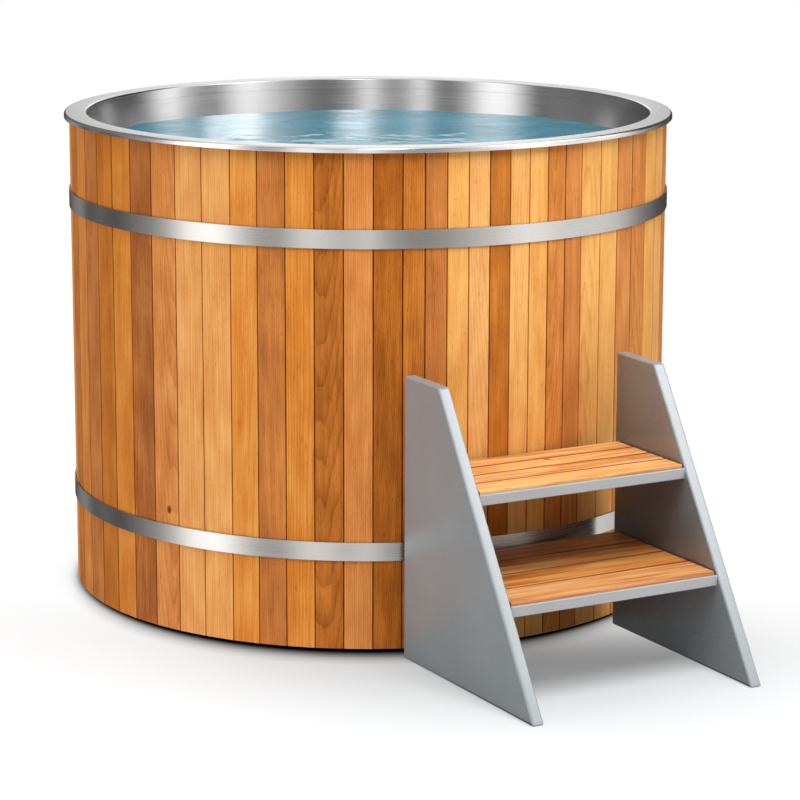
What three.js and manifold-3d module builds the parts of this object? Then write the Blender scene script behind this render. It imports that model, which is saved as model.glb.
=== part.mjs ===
// Round cold plunge tub: a stainless vessel clad in upright boards that two steel hoops hold,
// on timber bearers, with a bottom drain and a free-standing step with two treads.
// Millimetres, +Z up. The origin is on the floor at the tub's axis, and the step stands towards -Y.

import * as THREE from 'three';
import { mergeVertices } from 'three/addons/utils/BufferGeometryUtils.js';
import Module from 'manifold-3d';

const wasm = await Module();
wasm.setup();

// Fits
const SEAT = 0.3; // between a piece and what it rests on or is cut by
const TURN_FIT = 0.3; // between a turning piece and what it turns in

// Cladding
const CLAD_RADIUS = 650; // tub's axis to the boards' outer corners
const TUB_HEIGHT = 1037; // floor to the top of the rim
const BOARD_THICK = 28;
const BOARD_FLOOR_GAP = 10; // the boards stop short of the floor
const BOARD_CHAMFER = 1.5; // along each outer edge, so that two boards make a V
const TONGUE_THICK = 7;
const TONGUE_LENGTH = 6;
const TONGUE_FIT = 0.4;
const WIDE_BOARD = 66.5;
const MIDDLE_BOARD = 59;
const NARROW_BOARD = 45;
const BOARDS_PER_PANEL = 4; // boards joined edge to edge before they go round the vessel
const FIRST_BOARD_ANGLE = -100.7; // degrees from the step's side, where the first wide board starts
const RUN_COUNTS = [8, 6, 9, 3, 12, 7, 4, 7, 12]; // like boards side by side, from the first towards +X

// Vessel
const SHEET = 2; // stainless sheet of the wall, floor and rim
const FLOOR_CORNER = 30; // radius where the floor turns up into the wall
const FLOOR_UPSTAND = 12;
const RIM_OVERHANG = 11; // rim beyond the boards
const RIM_LIP = 11; // depth of the turned-down outer edge
const RIM_EDGE_RADIUS = 5;
const RIM_INNER_RADIUS = 4;
const RIM_COLLAR = 25; // rim's upright part, which stands on the wall
const FOAM_THICK = 6;

// Base
const BEARER_HEIGHT = 70;
const BEARER_WIDTH = 45;
const BEARER_COUNT = 5;
const OUTER_BEARER_INSET = 161; // inside of the boards to the outer bearers' middle lines
const BEARER_SETBACK = 10; // bearer's ends behind the boards
const BEARER_CHAMFER = 3;
const DECK_THICK = 18;
const INSULATION_THICK = 30;

// Hoops
const HOOP_WIDTH = 38.5;
const HOOP_THICK = 2;
const UPPER_HOOP_DROP = 184; // top of the rim down to the upper hoop's middle
const LOWER_HOOP_RISE = 212; // floor up to the lower hoop's middle
const LUG_GAP = 16; // between the two lugs that close a hoop
const LUG_LENGTH = 28;
const LUG_THICK = 5;
const HOOP_BOLT_RADIUS = 4;
const HOOP_BOLT_FIT = 0.4;
const HOOP_BOLT_SPARE = 6; // thread past the nut
const HOOP_HEX_RADIUS = 7.5; // over the corners of bolt head and nut
const HOOP_HEAD_HEIGHT = 5.5;
const HOOP_NUT_HEIGHT = 6.5;

// Drain
const DRAIN_INSET = 205; // vessel's wall to the middle of the drain
const PIPE_RADIUS = 17;
const PIPE_WALL = 2.5;
const PIPE_FIT = 1; // round the pipe where it goes through deck and board
const PIPE_STUB = 20; // pipe past the boards, up to the valve
const FLANGE_RADIUS = 45;
const FLANGE_THICK = 4;
const GASKET_THICK = 2;
const GRATE_RADIUS = 30;
const GRATE_THICK = 2;
const GRATE_HOLE_RADIUS = 3.5;
const GRATE_HOLE_CIRCLE = 9.5; // between one ring of holes and the next
const GRATE_HOLE_COUNT = 6; // in the inner ring; the outer ring has twice as many
const LOCKNUT_RADIUS = 27;
const LOCKNUT_HEIGHT = 10;
const ELBOW_WALL = 5.5;
const ELBOW_TO_DECK = 4;
const ELBOW_INNER_BEND = 2; // bend radius left on the elbow's inner side

// Ball valve and hose tail
const BALL_RADIUS = 16;
const BALL_BORE = 11;
const BALL_FIT = 0.9; // between ball and chamber, over the facets
const CHAMBER_WALL = 7;
const VALVE_HEX_RADIUS = 23;
const VALVE_HEX_LENGTH = 13;
const VALVE_NECK_LENGTH = 5;
const VALVE_NECK_WALL = 6;
const STEM_RADIUS = 5;
const STEM_BOSS_RADIUS = 10;
const STEM_BOSS_HEIGHT = 10; // above the chamber
const TANG_WIDTH = 4;
const TANG_DEPTH = 3;
const LEVER_LENGTH = 100; // stem's axis to the lever's tip
const LEVER_TAIL = 14;
const LEVER_WIDTH = 20;
const LEVER_SHEET = 3;
const LEVER_KINK_START = 20;
const LEVER_KINK_RUN = 14;
const LEVER_KINK_RISE = 12;
const GRIP_LENGTH = 52;
const GRIP_WALL = 1.8;
const LEVER_NUT_RADIUS = 9;
const LEVER_NUT_HEIGHT = 5;
const TAIL_LENGTH = 34;
const TAIL_RADIUS = 12;
const TAIL_BORE = 9;
const BARB_HEIGHT = 2;
const BARB_COUNT = 3;
const TAIL_COLLAR_LENGTH = 7;

// Step
const STEP_WIDTH = 528;
const STEP_PANEL_THICK = 25;
const STEP_PANEL_HEIGHT = 585;
const STEP_TOP_DEPTH = 137;
const STEP_FOOT_DEPTH = 505;
const STEP_PANEL_TAIL = 14; // panels reach this far past the trays, towards the tub
const STEP_PANEL_EDGE = 3; // rounding along the panel's edges
const STEP_PANEL_CORNER = 5;
const UPPER_TREAD = 400; // floor to the top of the deck boards
const LOWER_TREAD = 207;
const TREAD_BOARD_THICK = 22;
const TREAD_BOARD_COUNT = 4;
const TREAD_BOARD_GAP = 2;
const TREAD_BOARD_EDGE = 1.5;
const TREAD_END_GAP = 3;
const TRAY_SHEET = 3;
const LIP_THICK = 6;
const LIP_HEIGHT = 22;
const LIP_DROP = 7; // deck boards stand this far above the lip
const LIP_ROUND = 2.5;
const TRAY_FLANGE_HEIGHT = 20; // folded down at each end, where the tray is bolted to the panels
const TRAY_FLANGE_FRONT = 95; // flange starts this far behind the lip, out of sight
const TRAY_FLANGE_REAR = 20;
const TRAY_SLOT_LENGTH = 110;
const TRAY_SLOT_WIDTH = 12;
const TRAY_SLOT_COUNT = 3;

// Facets
const TUB_FACETS = 64;
const PIPE_FACETS = 20;
const HOLE_FACETS = 6;
const HEX = 6; // sides of a nut or bolt head
const ARC_STEPS = 3;
const BEND_STEPS = 5;

const degrees = THREE.MathUtils.degToRad;

// Materials
const paint = (color, roughness, metalness) => (
  new THREE.MeshStandardMaterial({ color, roughness, metalness })
);
const CEDAR = ['#c98a4b', '#b8713a', '#d6a062'];
const STEEL = '#b9bcbf';
const PANEL_GREY = '#a3a5a8';
const RUBBER = '#26282a';

// A closed geometry as a solid that can be cut and joined
function solid(geometry) {
  const bare = geometry.clone();
  bare.deleteAttribute('normal');
  bare.deleteAttribute('uv');
  const merged = mergeVertices(bare, 1e-4);
  const triangles = [];
  for (let i = 0; i < merged.index.count; i += 3) {
    const [a, b, c] = merged.index.array.slice(i, i + 3);
    if (a !== b && b !== c && c !== a) triangles.push(a, b, c);
  }
  return new wasm.Manifold(new wasm.Mesh({
    numProp: 3,
    vertProperties: Float32Array.from(merged.attributes.position.array),
    triVerts: Uint32Array.from(triangles),
  }));
}

function fromSolid(body) {
  const { vertProperties, triVerts } = body.getMesh();
  const geometry = new THREE.BufferGeometry();
  geometry.setAttribute('position', new THREE.BufferAttribute(vertProperties, 3));
  geometry.setIndex(new THREE.BufferAttribute(triVerts, 1));
  geometry.computeVertexNormals();
  return geometry;
}

const cut = (base, ...tools) => (
  fromSolid(tools.reduce((body, tool) => body.subtract(solid(tool)), solid(base)))
);
const join = (base, ...others) => (
  fromSolid(others.reduce((body, other) => body.add(solid(other)), solid(base)))
);

// Corners given as [x, y] or [x, y, radius], with an arc at each corner that has a radius
function outline(corners, steps = ARC_STEPS) {
  const points = [];
  corners.forEach(([x, y, radius = 0], i) => {
    const corner = new THREE.Vector2(x, y);
    if (!radius) {
      points.push(corner);
      return;
    }
    const [px, py] = corners.at(i - 1);
    const [nx, ny] = corners[(i + 1) % corners.length];
    const before = new THREE.Vector2(px, py).sub(corner).normalize();
    const after = new THREE.Vector2(nx, ny).sub(corner).normalize();
    const half = Math.acos(THREE.MathUtils.clamp(before.dot(after), -1, 1)) / 2;
    const middle = before.clone().add(after).normalize();
    const centre = corner.clone().addScaledVector(middle, radius / Math.sin(half));
    const start = corner.clone().addScaledVector(before, radius / Math.tan(half)).sub(centre);
    const turn = (Math.PI - 2 * half) * Math.sign(before.cross(after)) * -1;
    for (let k = 0; k <= steps; k += 1) {
      points.push(start.clone().rotateAround(new THREE.Vector2(), (turn * k) / steps).add(centre));
    }
  });
  return points;
}

// A closed profile of [radius, height] corners, turned about the upright axis
function turned(corners, facets, steps = ARC_STEPS) {
  const points = outline(corners, steps);
  return new THREE.LatheGeometry([...points, points[0]], facets).rotateX(Math.PI / 2);
}

// An upright ring, or a disc where the inner radius is 0
function ring(inner, outer, low, high, facets) {
  if (!inner) {
    const disc = new THREE.CylinderGeometry(outer, outer, high - low, facets).rotateX(Math.PI / 2);
    return disc.translate(0, 0, (low + high) / 2);
  }
  return turned([[inner, low], [outer, low], [outer, high], [inner, high]], facets);
}

const upright = (points, low, high) => new THREE.ExtrudeGeometry(new THREE.Shape(points), {
  depth: high - low,
  bevelEnabled: false,
}).translate(0, 0, low);

// An outline in Y and Z, carried along X
const TO_X = new THREE.Matrix4().makeBasis(
  new THREE.Vector3(0, 1, 0),
  new THREE.Vector3(0, 0, 1),
  new THREE.Vector3(1, 0, 0),
);
const alongX = (points, low, high) => upright(points, low, high).applyMatrix4(TO_X);

function piece(parent, name, geometry, material) {
  const mesh = new THREE.Mesh(geometry, material);
  mesh.name = name;
  parent.add(mesh);
  return mesh;
}

const object = new THREE.Group();
const tub = new THREE.Group();
const step = new THREE.Group();
object.add(tub, step);

// Boards share out the circle by their widths, which are mixed as they come from the mill: two runs
// of narrow boards and two of wide ones, with middling boards between them
const runWidths = [
  WIDE_BOARD, MIDDLE_BOARD, NARROW_BOARD, MIDDLE_BOARD, WIDE_BOARD,
  MIDDLE_BOARD, NARROW_BOARD, MIDDLE_BOARD, WIDE_BOARD,
];
const boardWidths = runWidths.flatMap((width, run) => Array(RUN_COUNTS[run]).fill(width));
const widthSum = boardWidths.reduce((sum, width) => sum + width, 0);
const boards = [];
boardWidths.reduce((start, width) => {
  const end = start + (2 * Math.PI * width) / widthSum;
  boards.push({ start, end });
  return end;
}, degrees(FIRST_BOARD_ANGLE));

// Heights and radii that several pieces share
const boardInnerCorner = CLAD_RADIUS - BOARD_THICK;
const widestAngle = Math.max(...boards.map(({ start, end }) => end - start));
const boardInnerFlat = boardInnerCorner * Math.cos(widestAngle / 2);
const boardTop = TUB_HEIGHT - SHEET - SEAT;
const foamOuter = boardInnerFlat - SEAT;
const foamInner = foamOuter - FOAM_THICK;
const wallOuter = foamInner - SEAT;
const wallInner = wallOuter - SHEET;
const deckLow = BEARER_HEIGHT + SEAT;
const deckHigh = deckLow + DECK_THICK;
const insulationLow = deckHigh + SEAT;
const insulationHigh = insulationLow + INSULATION_THICK;
const floorLow = insulationHigh + SEAT;
const floorHigh = floorLow + SHEET;

// Drain's line: between two bearers, then straight out at the back
const bearerPitch = (2 * (boardInnerFlat - OUTER_BEARER_INSET)) / (BEARER_COUNT - 1);
const drainX = bearerPitch / 2;
const drainY = wallInner - DRAIN_INSET;
const pipeBore = PIPE_RADIUS - PIPE_WALL;
const elbowRadius = pipeBore + ELBOW_WALL;
const elbowBend = elbowRadius + ELBOW_INNER_BEND;
const elbowHigh = deckLow - ELBOW_TO_DECK;
const pipeHeight = elbowHigh - elbowBend;
const pipeStart = drainY + elbowBend + SEAT;
const pipeEnd = Math.sqrt(CLAD_RADIUS ** 2 - drainX ** 2) + PIPE_STUB;

const pipeRod = (radius, from, to) => new THREE.CylinderGeometry(radius, radius, to - from, PIPE_FACETS)
  .translate(drainX, (from + to) / 2, pipeHeight);
const drainRod = (radius, low, high) => ring(0, radius, low, high, PIPE_FACETS).translate(drainX, drainY, 0);

// Cladding panels: boards joined edge to edge, with a V at each joint, a tongue along one end
// and a groove along the other
const around = (radius, angle) => new THREE.Vector2(radius * Math.sin(angle), -radius * Math.cos(angle));
const along = (point, angle, distance) => point.clone()
  .add(new THREE.Vector2(Math.cos(angle), Math.sin(angle)).multiplyScalar(distance));

function panelOutline(members) {
  const seam = SEAT / 2 / CLAD_RADIUS;
  const first = members[0].start + seam;
  const last = members.at(-1).end - seam;
  const tongueMiddle = CLAD_RADIUS - BOARD_THICK / 2;
  const outer = members.flatMap(({ start, end }) => {
    const half = (end - start) / 2;
    const face = around(CLAD_RADIUS * Math.cos(half), start + half);
    const reach = CLAD_RADIUS * Math.sin(half) - BOARD_CHAMFER;
    const edge = around(CLAD_RADIUS - BOARD_CHAMFER, start === members[0].start ? first : start);
    return [edge, along(face, start + half, -reach), along(face, start + half, reach)];
  });
  const inner = members.map(({ start }) => around(boardInnerCorner, start)).slice(1).reverse();
  const key = (angle, half, length) => [half, -half].flatMap((offset) => {
    const root = around(tongueMiddle + offset, angle);
    const tip = along(root, angle, length);
    return offset > 0 ? [root, tip] : [tip, root];
  });
  const tongue = key(last, TONGUE_THICK / 2, TONGUE_LENGTH);
  const groove = key(first, TONGUE_THICK / 2 + TONGUE_FIT, TONGUE_LENGTH + TONGUE_FIT).reverse();
  return [
    ...outer,
    around(CLAD_RADIUS - BOARD_CHAMFER, last),
    ...tongue,
    around(boardInnerCorner, last),
    ...inner,
    around(boardInnerCorner, first),
    ...groove,
  ];
}

const drainHole = pipeRod(PIPE_RADIUS + PIPE_FIT, drainY, pipeEnd);
for (let k = 0; k * BOARDS_PER_PANEL < boards.length; k += 1) {
  const members = boards.slice(k * BOARDS_PER_PANEL, (k + 1) * BOARDS_PER_PANEL);
  const panel = upright(panelOutline(members), BOARD_FLOOR_GAP, boardTop);
  const name = `cladding_panel_${String(k + 1).padStart(2, '0')}`;
  piece(tub, name, cut(panel, drainHole), paint(CEDAR[k % CEDAR.length], 0.6, 0));
}

// Rim: a flat ring of sheet, rolled over at the outer edge and turned down into the vessel
const rimOuter = CLAD_RADIUS + RIM_OVERHANG;
const collarLow = TUB_HEIGHT - RIM_COLLAR;
const rim = turned([
  [wallInner, collarLow],
  [wallOuter, collarLow],
  [wallOuter, TUB_HEIGHT - SHEET, RIM_INNER_RADIUS - SHEET],
  [rimOuter - SHEET, TUB_HEIGHT - SHEET, RIM_EDGE_RADIUS - SHEET],
  [rimOuter - SHEET, TUB_HEIGHT - RIM_LIP],
  [rimOuter, TUB_HEIGHT - RIM_LIP],
  [rimOuter, TUB_HEIGHT, RIM_EDGE_RADIUS],
  [wallInner, TUB_HEIGHT, RIM_INNER_RADIUS],
], TUB_FACETS);
piece(tub, 'rim', rim, paint(STEEL, 0.3, 1));

// Vessel wall and its pressed floor
const wallLow = floorHigh + FLOOR_CORNER + FLOOR_UPSTAND + SEAT;
const wall = ring(wallInner, wallOuter, wallLow, collarLow - SEAT, TUB_FACETS);
piece(tub, 'vessel_wall', wall, paint(STEEL, 0.3, 1));

const vesselFloor = turned([
  [0, floorLow],
  [wallOuter, floorLow, FLOOR_CORNER + SHEET],
  [wallOuter, wallLow - SEAT],
  [wallInner, wallLow - SEAT],
  [wallInner, floorHigh, FLOOR_CORNER],
  [0, floorHigh],
], TUB_FACETS);
const tailHole = drainRod(PIPE_RADIUS + PIPE_FIT, 0, floorHigh + SHEET);
piece(tub, 'vessel_floor', cut(vesselFloor, tailHole), paint(STEEL, 0.3, 1));

// Foam round the wall, insulation slab under the floor
const foam = ring(foamInner, foamOuter, insulationLow, boardTop - RIM_INNER_RADIUS, TUB_FACETS);
piece(tub, 'foam_wrap', foam, paint('#3a3d40', 0.9, 0));
const slab = ring(0, wallOuter, insulationLow, insulationHigh, TUB_FACETS);
const slabHole = drainRod(LOCKNUT_RADIUS + PIPE_FIT, 0, floorHigh);
piece(tub, 'floor_insulation', cut(slab, slabHole), paint('#9fb4c4', 0.9, 0));

// Base: a round deck on straight bearers
const deck = ring(0, foamOuter, deckLow, deckHigh, TUB_FACETS);
piece(tub, 'base_deck', cut(deck, tailHole), paint('#b98d5d', 0.7, 0));

const bearerHalf = BEARER_WIDTH / 2;
const bearerSection = outline([
  [-bearerHalf, 0, BEARER_CHAMFER],
  [bearerHalf, 0, BEARER_CHAMFER],
  [bearerHalf, BEARER_HEIGHT, BEARER_CHAMFER],
  [-bearerHalf, BEARER_HEIGHT, BEARER_CHAMFER],
], 1);
for (let k = 0; k < BEARER_COUNT; k += 1) {
  const x = (k - (BEARER_COUNT - 1) / 2) * bearerPitch;
  const reach = Math.sqrt(boardInnerFlat ** 2 - (Math.abs(x) + bearerHalf) ** 2) - BEARER_SETBACK;
  const bearer = upright(bearerSection, -reach, reach).rotateX(Math.PI / 2);
  piece(tub, `bearer_${k + 1}`, bearer, paint('#a9814f', 0.8, 0)).position.x = x;
}

// Hoops: flat bands whose ends turn out as lugs at the back, drawn together by a bolt
const hoopInner = (CLAD_RADIUS + SEAT) / Math.cos(Math.PI / TUB_FACETS);
const hoopOuter = hoopInner + HOOP_THICK;
const lugTip = hoopOuter + LUG_LENGTH;
const lugFace = LUG_GAP / 2;
const boltReach = hoopOuter + LUG_LENGTH / 2;

function bandArc(radius, edge) {
  const open = Math.asin(edge / radius);
  return Array.from({ length: TUB_FACETS + 1 }, (unused, k) => {
    const angle = Math.PI + open + ((2 * Math.PI - 2 * open) * k) / TUB_FACETS;
    return around(radius, angle);
  });
}

const across = (geometry) => geometry.rotateZ(Math.PI / 2);
const boltRod = (radius, length, facets) => (
  across(new THREE.CylinderGeometry(radius, radius, length, facets))
);

function hoop(name, height) {
  const group = new THREE.Group();
  group.position.z = height;
  tub.add(group);
  const band = [
    ...bandArc(hoopOuter, lugFace + LUG_THICK),
    new THREE.Vector2(lugFace + LUG_THICK, lugTip),
    new THREE.Vector2(lugFace, lugTip),
    ...bandArc(hoopInner, lugFace).reverse(),
    new THREE.Vector2(-lugFace, lugTip),
    new THREE.Vector2(-lugFace - LUG_THICK, lugTip),
  ];
  const boltHole = boltRod(HOOP_BOLT_RADIUS + HOOP_BOLT_FIT, 2 * lugTip, PIPE_FACETS)
    .translate(0, boltReach, 0);
  const strip = upright(band, -HOOP_WIDTH / 2, HOOP_WIDTH / 2);
  piece(group, `${name}_hoop`, cut(strip, boltHole), paint(STEEL, 0.3, 1));

  const grip = 2 * (lugFace + LUG_THICK + SEAT);
  const shank = grip + SEAT + HOOP_NUT_HEIGHT + HOOP_BOLT_SPARE;
  const head = boltRod(HOOP_HEX_RADIUS, HOOP_HEAD_HEIGHT, HEX)
    .translate(-(grip + HOOP_HEAD_HEIGHT) / 2, 0, 0);
  const thread = boltRod(HOOP_BOLT_RADIUS, shank, PIPE_FACETS).translate((shank - grip) / 2, 0, 0);
  piece(group, `${name}_hoop_bolt`, join(head, thread), paint(STEEL, 0.35, 1)).position.y = boltReach;

  const nut = boltRod(HOOP_HEX_RADIUS, HOOP_NUT_HEIGHT, HEX);
  const nutHole = boltRod(HOOP_BOLT_RADIUS + SEAT, 2 * HOOP_NUT_HEIGHT, PIPE_FACETS);
  const nutMesh = piece(group, `${name}_hoop_nut`, cut(nut, nutHole), paint(STEEL, 0.35, 1));
  nutMesh.position.set((grip + HOOP_NUT_HEIGHT) / 2, boltReach, 0);
}
hoop('upper', TUB_HEIGHT - UPPER_HOOP_DROP);
hoop('lower', LOWER_HOOP_RISE);

// Drain: flange and tailpiece through the floor, gasket above the sheet and locknut below it
const drain = new THREE.Group();
drain.position.set(drainX, drainY, 0);
tub.add(drain);
const gasketLow = floorHigh + SEAT;
const flangeLow = gasketLow + GASKET_THICK + SEAT;
const flangeHigh = flangeLow + FLANGE_THICK;
const grateSeat = flangeHigh - GRATE_THICK - SEAT;
const drainFlange = turned([
  [pipeBore, elbowHigh + SEAT],
  [PIPE_RADIUS, elbowHigh + SEAT],
  [PIPE_RADIUS, flangeLow],
  [FLANGE_RADIUS, flangeLow],
  [FLANGE_RADIUS, flangeHigh, FLANGE_THICK / 2],
  [GRATE_RADIUS + SEAT, flangeHigh],
  [GRATE_RADIUS + SEAT, grateSeat],
  [pipeBore, grateSeat],
], PIPE_FACETS);
piece(drain, 'drain_flange', drainFlange, paint(STEEL, 0.3, 1));

const gasket = ring(PIPE_RADIUS + SEAT, FLANGE_RADIUS, gasketLow, gasketLow + GASKET_THICK, PIPE_FACETS);
piece(drain, 'drain_gasket', gasket, paint(RUBBER, 0.9, 0));

const locknutHigh = floorLow - SEAT;
const locknut = ring(0, LOCKNUT_RADIUS, locknutHigh - LOCKNUT_HEIGHT, locknutHigh, HEX);
const locknutHole = ring(0, PIPE_RADIUS + SEAT, 0, floorHigh, PIPE_FACETS);
piece(drain, 'drain_locknut', cut(locknut, locknutHole), paint('#d9d9d6', 0.5, 0));

const grate = ring(0, GRATE_RADIUS, grateSeat + SEAT, grateSeat + SEAT + GRATE_THICK, PIPE_FACETS);
const grateHoles = [1, 2].flatMap((circle) => {
  const count = circle * GRATE_HOLE_COUNT;
  return Array.from({ length: count }, (unused, k) => {
    const place = around(circle * GRATE_HOLE_CIRCLE, (2 * Math.PI * k) / count);
    const hole = ring(0, GRATE_HOLE_RADIUS, floorHigh, flangeHigh + SEAT, HOLE_FACETS);
    return hole.translate(place.x, place.y, 0);
  });
});
piece(drain, 'drain_grate', cut(grate, ...grateHoles), paint(STEEL, 0.3, 1));

// Elbow: a quarter bend from the tailpiece to the pipe
const tubeSection = (outer, bore) => {
  const shape = new THREE.Shape().absarc(0, 0, outer, 0, 2 * Math.PI);
  shape.holes.push(new THREE.Path().absarc(0, 0, bore, 0, 2 * Math.PI, true));
  return shape;
};
class QuarterBend extends THREE.Curve {
  getPoint(t, target = new THREE.Vector3()) {
    const angle = (t * Math.PI) / 2;
    return target.set(0, elbowBend * (1 - Math.cos(angle)), elbowHigh - elbowBend * Math.sin(angle));
  }
}
const elbow = new THREE.ExtrudeGeometry(tubeSection(elbowRadius, pipeBore), {
  steps: BEND_STEPS,
  curveSegments: PIPE_FACETS / 2,
  extrudePath: new QuarterBend(),
});
piece(drain, 'drain_elbow', elbow, paint('#d9d9d6', 0.5, 0));

const pipe = ring(pipeBore, PIPE_RADIUS, pipeStart, pipeEnd, PIPE_FACETS).rotateX(-Math.PI / 2);
piece(tub, 'drain_pipe', pipe, paint('#d9d9d6', 0.5, 0)).position.set(drainX, 0, pipeHeight);

// Ball valve, modelled about the middle of its ball, with the flow along Y
const chamber = BALL_RADIUS + BALL_FIT;
const chamberOuter = chamber + CHAMBER_WALL;
const valveHalf = chamberOuter + VALVE_NECK_LENGTH + VALVE_HEX_LENGTH;
const valve = new THREE.Group();
valve.position.set(drainX, pipeEnd + SEAT + valveHalf, pipeHeight);
tub.add(valve);

const flowAxis = (geometry) => geometry.rotateX(-Math.PI / 2);
const hexEnd = (side) => flowAxis(ring(0, VALVE_HEX_RADIUS, -VALVE_HEX_LENGTH / 2, VALVE_HEX_LENGTH / 2, HEX))
  .translate(0, side * (valveHalf - VALVE_HEX_LENGTH / 2), 0);
const neck = flowAxis(ring(0, BALL_BORE + VALVE_NECK_WALL, -valveHalf, valveHalf, PIPE_FACETS));
const housing = flowAxis(turned([
  [0, -chamberOuter],
  [chamberOuter, -chamberOuter, CHAMBER_WALL],
  [chamberOuter, chamberOuter, CHAMBER_WALL],
  [0, chamberOuter],
], PIPE_FACETS));
const bossHigh = chamberOuter + STEM_BOSS_HEIGHT;
const boss = ring(0, STEM_BOSS_RADIUS, 0, bossHigh, PIPE_FACETS);
const valveSolid = join(housing, neck, hexEnd(-1), hexEnd(1), boss);
const valveBody = cut(
  valveSolid,
  new THREE.SphereGeometry(chamber, PIPE_FACETS, PIPE_FACETS / 2),
  flowAxis(ring(0, BALL_BORE, -2 * valveHalf, 2 * valveHalf, PIPE_FACETS)),
  ring(0, STEM_RADIUS + TURN_FIT, 0, 2 * bossHigh, PIPE_FACETS),
);
piece(valve, 'valve_body', valveBody, paint('#c8b26a', 0.35, 1));

// The turning pieces, shown closed: the ball's bore lies across the flow and the lever along +X
const tangLow = BALL_RADIUS - TANG_DEPTH;
const slot = new THREE.BoxGeometry(2 * BALL_RADIUS, TANG_WIDTH + 2 * SEAT, 2 * (TANG_DEPTH + SEAT))
  .translate(0, 0, BALL_RADIUS);
const ballBore = across(new THREE.CylinderGeometry(BALL_BORE, BALL_BORE, 4 * BALL_RADIUS, PIPE_FACETS));
const ball = new THREE.SphereGeometry(BALL_RADIUS, PIPE_FACETS, PIPE_FACETS / 2).rotateX(Math.PI / 2);
piece(valve, 'valve_ball', cut(ball, ballBore, slot), paint(STEEL, 0.15, 1));

const leverLow = bossHigh + SEAT;
const leverNutLow = leverLow + LEVER_SHEET + SEAT;
const stemHigh = leverNutLow + LEVER_NUT_HEIGHT;
const tangLength = 2 * Math.sqrt(STEM_RADIUS ** 2 - (TANG_WIDTH / 2) ** 2);
const tang = new THREE.BoxGeometry(tangLength, TANG_WIDTH, 2 * TANG_DEPTH)
  .translate(0, 0, tangLow + TANG_DEPTH);
const stem = ring(0, STEM_RADIUS, BALL_RADIUS + SEAT, stemHigh, PIPE_FACETS);
piece(valve, 'valve_stem', join(stem, tang), paint(STEEL, 0.3, 1));

const kinkEnd = LEVER_KINK_START + LEVER_KINK_RUN;
const leverHigh = leverLow + LEVER_KINK_RISE;
const lever = upright(outline([
  [-LEVER_TAIL, leverLow],
  [LEVER_KINK_START, leverLow],
  [kinkEnd, leverHigh],
  [LEVER_LENGTH, leverHigh],
  [LEVER_LENGTH, leverHigh + LEVER_SHEET],
  [kinkEnd - LEVER_SHEET / 2, leverHigh + LEVER_SHEET],
  [LEVER_KINK_START - LEVER_SHEET / 2, leverLow + LEVER_SHEET],
  [-LEVER_TAIL, leverLow + LEVER_SHEET],
]), -LEVER_WIDTH / 2, LEVER_WIDTH / 2).rotateX(Math.PI / 2);
const leverHole = ring(0, STEM_RADIUS + SEAT, 0, stemHigh, PIPE_FACETS);
piece(valve, 'valve_lever', cut(lever, leverHole), paint(STEEL, 0.3, 1));

// Vinyl sleeve dipped over the lever's end, open towards the stem
const gripStart = LEVER_LENGTH - GRIP_LENGTH;
const gripMiddle = leverHigh + LEVER_SHEET / 2;
const gripHalf = LEVER_WIDTH / 2 + GRIP_WALL;
const sleeve = alongX(outline([
  [-gripHalf, gripMiddle - LEVER_SHEET / 2 - GRIP_WALL, GRIP_WALL],
  [gripHalf, gripMiddle - LEVER_SHEET / 2 - GRIP_WALL, GRIP_WALL],
  [gripHalf, gripMiddle + LEVER_SHEET / 2 + GRIP_WALL, GRIP_WALL],
  [-gripHalf, gripMiddle + LEVER_SHEET / 2 + GRIP_WALL, GRIP_WALL],
]), gripStart, LEVER_LENGTH + GRIP_WALL);
const sleeveHollow = new THREE.BoxGeometry(2 * GRIP_LENGTH, LEVER_WIDTH + 2 * SEAT, LEVER_SHEET + 2 * SEAT)
  .translate(LEVER_LENGTH + SEAT - GRIP_LENGTH, 0, gripMiddle);
piece(valve, 'lever_grip', cut(sleeve, sleeveHollow), paint(RUBBER, 0.7, 0));

const leverNut = ring(0, LEVER_NUT_RADIUS, leverNutLow, stemHigh, HEX);
piece(valve, 'lever_nut', cut(leverNut, leverHole.clone().translate(0, 0, SEAT)), paint(STEEL, 0.35, 1));

// Hose tail on the valve's outer end, with barbs that narrow outwards
const barbLength = (TAIL_LENGTH - TAIL_COLLAR_LENGTH) / BARB_COUNT;
const barbs = Array.from({ length: BARB_COUNT }, (unused, k) => TAIL_COLLAR_LENGTH + k * barbLength)
  .flatMap((from) => [[TAIL_RADIUS + BARB_HEIGHT, from], [TAIL_RADIUS, from + barbLength]]);
const hoseTail = flowAxis(turned([
  [TAIL_BORE, 0],
  [BALL_BORE + VALVE_NECK_WALL, 0],
  [BALL_BORE + VALVE_NECK_WALL, TAIL_COLLAR_LENGTH],
  ...barbs,
  [TAIL_BORE, TAIL_LENGTH],
], PIPE_FACETS));
piece(valve, 'hose_tail', hoseTail, paint('#c8b26a', 0.35, 1)).position.y = valveHalf + SEAT;

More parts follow.
